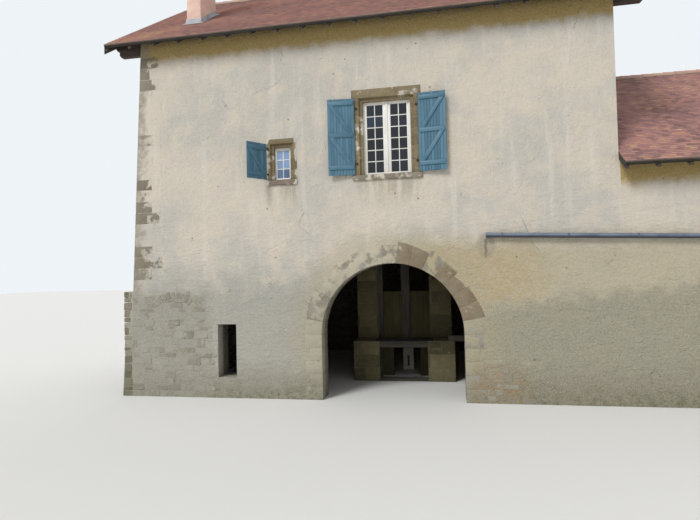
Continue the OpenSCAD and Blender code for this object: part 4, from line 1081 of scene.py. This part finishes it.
dice = random.Random(43)
gap, play = shutterSizes["gap"], shutterSizes["play"]
for word, size, middle, side, opened, ledges in shutters:
    wide = (size["wide"] + 2 * windows["rebate"]) / size["leaves"] - gap * (1 + 1 / size["leaves"])
    high = size["high"] + windows["rebate"] - 2 * gap - play
    pinX = middle + side * (size["wide"] / 2 + windows["rebate"] + shutterSizes["pinSide"])
    hinge = frontWall @ shifted(pinX, -shutterSizes["pinOut"], windows["sill"] + gap + play)
    hinge = hinge @ spun("Z", math.radians(side * opened)) @ Matrix.Diagonal((-side, 1, 1, 1))
    buildShutter(word, wide, high, ledges, hinge, dice)
print("shutters hung")


# Upper floor, joists and beams

floorSizes = {"boardWide": 0.20, "gap": 0.0015, "endGap": 0.0015, "long": (2.6, 4.4), "least": 0.05,
              "uneven": 0.002, "edge": 0.003}


def boardsOver(node, s, dice):  # boards along the front, side by side over a node's box
    pile = Pile()
    low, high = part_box(node)
    count = round((high.y - low.y) / s["boardWide"])
    each = (high.y - low.y) / count
    for row in range(count):
        spans = lengths(low.x, high.x, s["long"], dice, s["least"]) if "long" in s else [(low.x, high.x)]
        near, far = low.y + row * each + s["gap"], low.y + (row + 1) * each - s["gap"]
        for left, right in spans:
            board = block((left + s["endGap"], near, low.z),
                          (right - s["endGap"], far, high.z - dice.uniform(0, s["uneven"])), s["edge"])
            pile.add(board, dice.random())
    return pile


boardsOver("upper_floor", floorSizes, random.Random(57)).piece("floor_boards", "floorBoard", ("upper_floor",))
dressed("floor_joists", "worn_joists", "darkTimber", 0.008, (0, 1, 0))
dressed("floor_beams", "worn_beams", "darkTimber", 0.02, (1, 0, 0), 0.4, 0.006)
print("floor laid")


# Sluice frame: coursed piers on blocks, posts, deck and boards

sluice = {"course": 0.38, "proud": 0.010, "edge": 0.014, "joint": 0.012, "deep": 0.06, "wobble": 0.004,
          "longest": 0.75, "block": (0.088, 1.55, 0.825, 2.6), "pier": (0.053, 1.722, 0.695, 3.5)}
deckSizes = {"boardWide": 0.19, "gap": 0.003, "endGap": 0.0, "uneven": 0.006, "edge": 0.005}


def pierStones(pile, low, high, dice):  # stones round the four sides of an upright, in courses
    rows = max(1, round((high.z - low.z) / sluice["course"]))
    rise = (high.z - low.z) / rows
    proud, deep, gap = sluice["proud"], sluice["deep"], sluice["joint"] / 2
    for row in range(rows):
        for long, other in ((0, 1), (1, 0)):
            for side in (0, 1):
                start, end = low[long] - proud, high[long] + proud
                if (row + long) % 2:
                    start, end = start + deep + proud, end - deep - proud
                cuts = [start, (start + end) / 2 + dice.uniform(-0.12, 0.12), end]
                if end - start < sluice["longest"] or row % 2:
                    cuts = [start, end]
                for a, b in zip(cuts, cuts[1:]):
                    lowest, highest = [0, 0, low.z + row * rise + gap], [0, 0, low.z + (row + 1) * rise - gap]
                    lowest[long], highest[long] = a + gap, b - gap
                    face = high[other] if side else low[other]
                    lowest[other] = face - (deep if side else proud)
                    highest[other] = face + (proud if side else deep)
                    stone = block(lowest, highest, sluice["edge"], 2, sluice["wobble"], dice)
                    pile.add(stone, dice.uniform(0.0, 0.9))


dice = random.Random(71)
pierHigh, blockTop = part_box("sluice_piers")[1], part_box("sluice_deck")[1].z
pierPile = Pile()
for side in (-1, 1):
    for upright, foot, top in (("block", 0.0, blockTop), ("pier", blockTop, pierHigh.z)):
        middle, bay, wide, behind = sluice[upright]
        edge = axisX + middle + side * bay / 2
        left, right = sorted((edge, edge + side * wide))
        pierStones(pierPile, Vector((left, faceY + behind, foot)), Vector((right, pierHigh.y, top)), dice)
pierPile.piece("pier_stones", "pierStone")
boardsOver("sluice_deck", deckSizes, dice).piece("deck_boards", "greyTimber", ("sluice_deck",))
dressed("sluice_beams", "worn_sluice_beams", "greyTimber", 0.012, (1, 0, 0), 0.2, 0.004)
dressed("sluice_posts", "worn_posts", "greyTimber", 0.012, (0, 0, 1), 0.25, 0.004)
dressed("side_beam", "worn_side_beam", "greyTimber", 0.012, (1, 0, 0), 0.2, 0.004)
dressed("hanging_board", "worn_hanging_board", "greyTimber", 0.006, (0, 0, 1))
dressed("sluice_panels", "worn_panels", "panelBoard", 0.006, (0, 0, 1))
print("sluice frame built")


# Roof: boarding, tiles laid one by one, ridge tiles in mortar

roof = {"thick": 0.07, "exposure": 0.112, "wide": 0.168, "tileLong": 0.16, "tileThick": 0.016, "hump": 0.0025,
        "gap": 0.004, "leastTile": 0.04, "sway": 0.012, "board": 0.02, "boardWide": 0.18,
        "boardLong": (2.8, 4.4), "batten": 0.014, "eaveOut": 0.5, "wingDrop": 4.29,
        "ochrePatch": ((0.4, 0.3), (2.7, 2.5), 0.5), "ochreMore": 0.28}
verge = {"inset": 0.010, "wide": 0.035, "high": 0.032, "uneven": 0.006, "start": 0.045, "long": (0.5, 0.9),
         "beyond": 0.012}
eaveMortar = {"from": 0.018, "to": 0.060, "high": 0.028, "uneven": 0.004, "long": (0.8, 1.6), "inset": 0.01}
slopeCos, slopeSin = math.cos(slope), math.sin(slope)
slopeLong = (ridgeY - faceY + roof["eaveOut"]) / slopeCos
topShift = roof["thick"] * pitch
roofLow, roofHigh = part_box("roof_front")
mainX = (roofLow.x, axisX + rightCorner + (axisX + gableSide["top"] - roofLow.x))
wingX = (axisX + rightCorner, roofHigh.x)
mainRidge = roofHigh.z - roof["thick"] / slopeCos
wingRidge = mainRidge - roof["wingDrop"]
ridges = ((mainX, mainRidge), (wingX, wingRidge))


def slopePlane(xs, ridgeZ, front):  # x along the eave, y up the slope, z out of the boarding
    side, x, y = (1, xs[0], faceY - roof["eaveOut"]) if front else (-1, xs[1], rearY + roof["eaveOut"])
    return Matrix(((side, 0, 0, x), (0, side * slopeCos, -side * slopeSin, y),
                   (0, slopeSin, slopeCos, ridgeZ - slopeLong * slopeSin), (0, 0, 0, 1)))


def tileShape():
    half = roof["wide"] / 2 - roof["gap"] / 2
    bm = block((-half, 0, -roof["tileThick"]), (half, roof["tileLong"], 0))
    lines = [line for line in bm.edges if all(abs(vert.co.z) < 0.0001 for vert in line.verts)
             and abs(line.verts[0].co.y - line.verts[1].co.y) < 0.0001]
    made = bmesh.ops.subdivide_edges(bm, edges=lines, cuts=1, use_grid_fill=True)
    for item in made["geom_inner"]:
        if isinstance(item, bmesh.types.BMVert):
            item.co.z += roof["hump"]
    return bm


def ochrePatch(x, y):  # a paler, more ochre strip of tiles from the left verge up to the chimney
    start, end, wide = roof["ochrePatch"]
    start, end, here = Vector(start), Vector(end), Vector((x, y))
    along = clamped((here - start).dot(end - start) / (end - start).length_squared)
    return roof["ochreMore"] * math.exp(-((here - start - (end - start) * along).length / wide) ** 2)


def layTiles(pile, plane, length, front, patched, dice):
    shape = pile.take(tileShape())
    lastRow = int((slopeLong - 0.02) / roof["exposure"])
    tilt = spun("X", -math.atan2(roof["tileThick"], roof["exposure"]))
    for row in range(lastRow + 1):
        y = topShift + row * roof["exposure"] - 0.002
        x = 0.0 if row % 2 else -roof["wide"] / 2
        while x < length - 0.03:
            left, right = max(x, 0.0), min(x + roof["wide"], length)
            x += roof["wide"]
            if right - left <= roof["leastTile"]:
                continue
            middle = (left + right) / 2
            zone = drift(middle * 0.35, y * 0.5, 3.0 if front else 8.0)
            tone = 0.42 + zone * 0.3 + dice.gauss(0, 0.19) + (ochrePatch(middle, y) if patched else 0)
            sink = roof["sway"] * (0.5 + 0.5 * drift(middle * 0.5, y * 0.4, 1.0))
            slip = -0.012 * dice.random() if dice.random() > 0.93 else dice.uniform(-0.002, 0.002)
            shorter = 0.65 if row == lastRow else 1.0
            squash = Matrix.Diagonal(((right - left) / roof["wide"], shorter, 1.0, 1.0))
            turn = spun("Z", dice.gauss(0, 0.010)) @ spun("Y", dice.gauss(0, 0.006))
            spot = shifted(middle, max(y + slip, topShift - 0.002) if row else y,
                           roof["thick"] - sink - dice.uniform(0, 0.002))
            pile.add(shape, clamped(tone), plane @ spot @ tilt @ turn @ squash)


def layBoards(pile, plane, length, dice):
    count = round(slopeLong / roof["boardWide"])
    each = slopeLong / count
    for row in range(count):
        for x, end in lengths(0.012, length - 0.012, roof["boardLong"], dice, 0.008):
            board = block((x + 0.001, row * each + 0.002 + (0.004 if row == 0 else 0), 0.0005),
                          (end - 0.001, (row + 1) * each - 0.002, roof["board"]), 0.003)
            pile.add(board, dice.random(), plane)


def layBattens(pile, plane, length, dice):  # the dark layer under the tiles, and the mortar along its edges
    low = roof["board"]
    pile.add(block((0.03, 0.05, low), (length - 0.03, slopeLong + 0.01, low + roof["batten"])), 0.9, plane)
    s = verge
    for start in (s["inset"], length - s["inset"] - s["wide"]):
        for y, end in lengths(s["start"], slopeLong + s["beyond"], s["long"], dice, s["beyond"]):
            top = low + s["high"] - dice.uniform(0, s["uneven"])
            strip = block((start, y, low), (start + s["wide"], end, top), 0.006, 1, 0.0015, dice)
            pile.add(strip, dice.uniform(0.0, 0.4), plane)
    s = eaveMortar
    for x, end in lengths(s["inset"], length - s["inset"], s["long"], dice, s["inset"]):
        top = low + s["high"] - dice.uniform(0, s["uneven"])
        strip = block((x, s["from"], low), (end, s["to"], top), 0.005, 1, 0.001, dice)
        pile.add(strip, dice.uniform(0.0, 0.4), plane)


dice = random.Random(97)
for front, word in ((True, "front"), (False, "rear")):
    tiles, boards, battens = Pile(), Pile(), Pile()
    for xs, ridgeZ in ridges:
        plane, length = slopePlane(xs, ridgeZ, front), xs[1] - xs[0]
        layTiles(tiles, plane, length, front, front and xs == mainX, dice)
        layBoards(boards, plane, length, dice)
        layBattens(battens, plane, length, dice)
    tiles.piece("roof_tiles_" + word, "clayTile", ("roof_" + word,), smooth=0)
    boards.piece("roof_boarding_" + word, "paleTimber")
    battens.piece("roof_mortar_" + word, "verge")
    print("roof laid at the", word, tiles.count, "points")

ridgeSizes = {"radius": 0.12, "thick": 0.014, "spread": 100.0, "exposure": 0.34, "long": 0.39, "drop": 0.45,
              "narrow": 0.88, "lastLong": 0.86, "lump": (0.048, 0.032), "lumpAt": 0.103}


def ridgeShape():
    s = ridgeSizes
    bm = bmesh.new()
    turns = [math.radians(turn) for turn in np.linspace(-s["spread"], s["spread"], 13)]
    rim = [bm.verts.new((0, s["radius"] * math.sin(turn), s["radius"] * math.cos(turn))) for turn in turns]
    lines = [bm.edges.new(pair) for pair in zip(rim, rim[1:])]
    far = pulled(bmesh.ops.extrude_edge_only(bm, edges=lines))
    bmesh.ops.translate(bm, vec=(s["long"], 0, 0), verts=far)
    bmesh.ops.scale(bm, vec=(1, s["narrow"], s["narrow"]), verts=far)
    bmesh.ops.recalc_face_normals(bm, faces=bm.faces)
    if sum(face.normal.z for face in bm.faces) < 0:
        bmesh.ops.reverse_faces(bm, faces=bm.faces)
    bmesh.ops.solidify(bm, geom=bm.faces[:], thickness=s["thick"])
    bmesh.ops.recalc_face_normals(bm, faces=bm.faces)
    return bm


ridgePile, mortarPile = Pile(), Pile()
s, (lumpWide, lumpHigh) = ridgeSizes, ridgeSizes["lump"]
for xs, ridgeZ in ridges:
    peak = ridgeZ + roof["thick"] / slopeCos
    count = round((xs[1] - xs[0]) / s["exposure"])
    each = (xs[1] - xs[0]) / count
    shape = ridgePile.take(ridgeShape())
    for i in range(count):
        x = xs[0] + i * each
        scale = each / s["exposure"] * (s["lastLong"] if i == count - 1 else 1.0)
        spot = shifted(x, ridgeY + dice.uniform(-0.003, 0.003),
                       peak - s["radius"] * s["drop"] - dice.uniform(0, 0.004))
        turn = spun("Z", dice.gauss(0, 0.004)) @ spun("X", dice.gauss(0, 0.02))
        ridgePile.add(shape, clamped(dice.gauss(0.72, 0.14)), spot @ turn @ Matrix.Diagonal((scale, 1, 1, 1)))
        for side in (-1, 1):
            lump = block((0, -lumpWide / 2, -lumpHigh / 2), (each, lumpWide / 2, lumpHigh / 2),
                         0.009, 1, 0.005, dice)
            spot = shifted(x, ridgeY + side * s["lumpAt"], peak - s["lumpAt"] * pitch + 0.002)
            mortarPile.add(lump, dice.uniform(0.0, 0.3), spot @ spun("X", -side * slope))
ridgePile.piece("ridge_caps", "clayTile", ("ridge_tiles",))
mortarPile.piece("ridge_mortar", "bedding")

dressed("rafters_front", "worn_rafters_front", "paleTimber", 0.006, (0, 1, pitch))
dressed("rafters_rear", "worn_rafters_rear", "paleTimber", 0.006, (0, 1, -pitch))
dressed("purlins", "worn_purlins", "darkTimber", 0.010, (1, 0, 0))
dressed("barge_boards", "worn_barge_boards", "bargeTimber", 0.004, (0, 1, pitch))
dressed("chimney", "rough_chimney", "peach", 0.018, (0, 0, 1), 0.13, 0.008, 2)
print("roof timbers and chimney done")


# Eaves: render carried up between the rafters, and a board along the rafters' ends, painted near black as a
# dark stained board and as painted shade under the tiles

eaves = {"plateIn": 0.058, "plateOut": 0.212, "plateHigh": 0.201, "rafterHigh": 0.120, "intoRafter": 0.004,
         "leastBay": 0.03, "boardHigh": 0.040, "boardFront": 0.496, "boardBack": 0.471,
         "boardLong": (2.6, 4.2), "uneven": 0.003, "gap": 0.001}


def rafterSpans(node, wallHigh):  # where each rafter with its foot near a wall's top begins and ends
    bm = mergedCopy(node)
    spans = []
    for group in islandsOf(bm):
        if wallHigh - 0.5 < min(vert.co.z for vert in group) < wallHigh:
            xs = [vert.co.x - axisX for vert in group]
            spans.append((min(xs), max(xs)))
    bm.free()
    return sorted(spans)


def fillEaves(filling, boards, spans, ends, ridgeZ, wallHigh, place, flipped, dice):
    eaveZ = ridgeZ - slopeLong * slopeSin

    def under(n):
        return eaveZ + (n + roof["eaveOut"]) * pitch

    near, far, into, gap = eaves["plateIn"], eaves["plateOut"], eaves["intoRafter"], eaves["gap"]
    plate, foot = wallHigh + eaves["plateHigh"], into - eaves["rafterHigh"] / slopeCos
    between = [(0.0, wallHigh), (near, wallHigh), (near, plate), (far, plate), (far, under(far)),
               (0.0, under(0.0))]
    beneath = [(0.0, wallHigh), (near, wallHigh), (near, under(near) + foot), (0.0, under(0.0) + foot)]
    bays = [(between, left - into, right + into) for (_, left), (right, _) in zip(spans, spans[1:])]
    feet = [(beneath, left + into, right - into) for left, right in spans]
    for shape, left, right in bays + feet:
        xs = (max(left, ends[0]), min(right, ends[1]))
        if xs[1] - xs[0] > eaves["leastBay"]:
            depths = xs if flipped else (-xs[1], -xs[0])
            filling.add(prism(shape, *depths), 0.5, place @ spun("Z", math.pi / 2))
    x, last = spans[0][0], spans[-1][1]
    while x < last - 0.01:
        end = last if last - x < eaves["boardLong"][1] else x + dice.uniform(*eaves["boardLong"])
        left, right = (gap - end, -x - gap) if flipped else (x + gap, end - gap)
        low = eaveZ - eaves["boardHigh"] + dice.uniform(0, eaves["uneven"])
        board = block((left, -eaves["boardFront"], low), (right, -eaves["boardBack"], eaveZ + 0.002), 0.003)
        boards.add(board, dice.random(), place)
        x = end


dice = random.Random(131)
filling, eaveBoards = Pile(), Pile()
wingWall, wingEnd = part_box("wing_front_wall")[1].z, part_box("wing_end_wall")[1].x - axisX
for node, place, flipped in (("rafters_front", frontWall, False), ("rafters_rear", rearWall, True)):
    for ends, ridgeZ, wallHigh in (((gableSide["top"], rightCorner), mainRidge, wallTop),
                                   ((rightCorner, wingEnd), wingRidge, wingWall)):
        spans = rafterSpans(node, wallHigh)
        fillEaves(filling, eaveBoards, spans, ends, ridgeZ, wallHigh, place, flipped, dice)
filling.piece("eave_filling", "render")
eaveBoards.piece("eave_boards", "shadedEaveBoard")
print("eaves closed")


# Stage

stage = {"floorSize": 120.0, "floorDrop": 0.002, "floor": (0.78, 0.78, 0.76, 1.0), "floorRough": 0.9,
         "backdrop": (0.86, 0.9, 0.94, 1.0), "sky": (1.0, 1.0, 1.0, 1.0), "skyStrength": 0.5}


def backdrop():
    studio = Finish("studio", "worlds")
    bpy.context.scene.world = studio.holder
    seen, glossy, through = (studio.node("LightPath", output="Is %s Ray" % ray)
                             for ray in ("Camera", "Glossy", "Transmission"))
    soft = studio.node("Background", {}, {"Color": stage["sky"], "Strength": stage["skyStrength"]})
    pale = studio.node("Background", {}, {"Color": stage["backdrop"], "Strength": 1.0})
    both = studio.node("MixShader", {}, {0: seen.most(glossy).most(through), 1: soft, 2: pale})
    studio.node("OutputWorld", {}, {"Surface": both})


def layFloor():
    bm = bmesh.new()
    bmesh.ops.create_grid(bm, x_segments=1, y_segments=1, size=stage["floorSize"])
    mesh = bpy.data.meshes.new("floor")
    bm.to_mesh(mesh)
    bm.free()
    mesh.transform(shifted(0, 0, frameLow.z - stage["floorDrop"]))
    finish = Finish("floor")
    sockets = {"Base Color": stage["floor"], "Roughness": stage["floorRough"]}
    shader = finish.node("BsdfPrincipled", {}, sockets)
    finish.node("OutputMaterial", {}, {"Surface": shader})
    mesh.materials.append(finish.holder)
    linked("floor", mesh)


backdrop()
layFloor()
bpy.context.scene.view_settings.view_transform = "Standard"
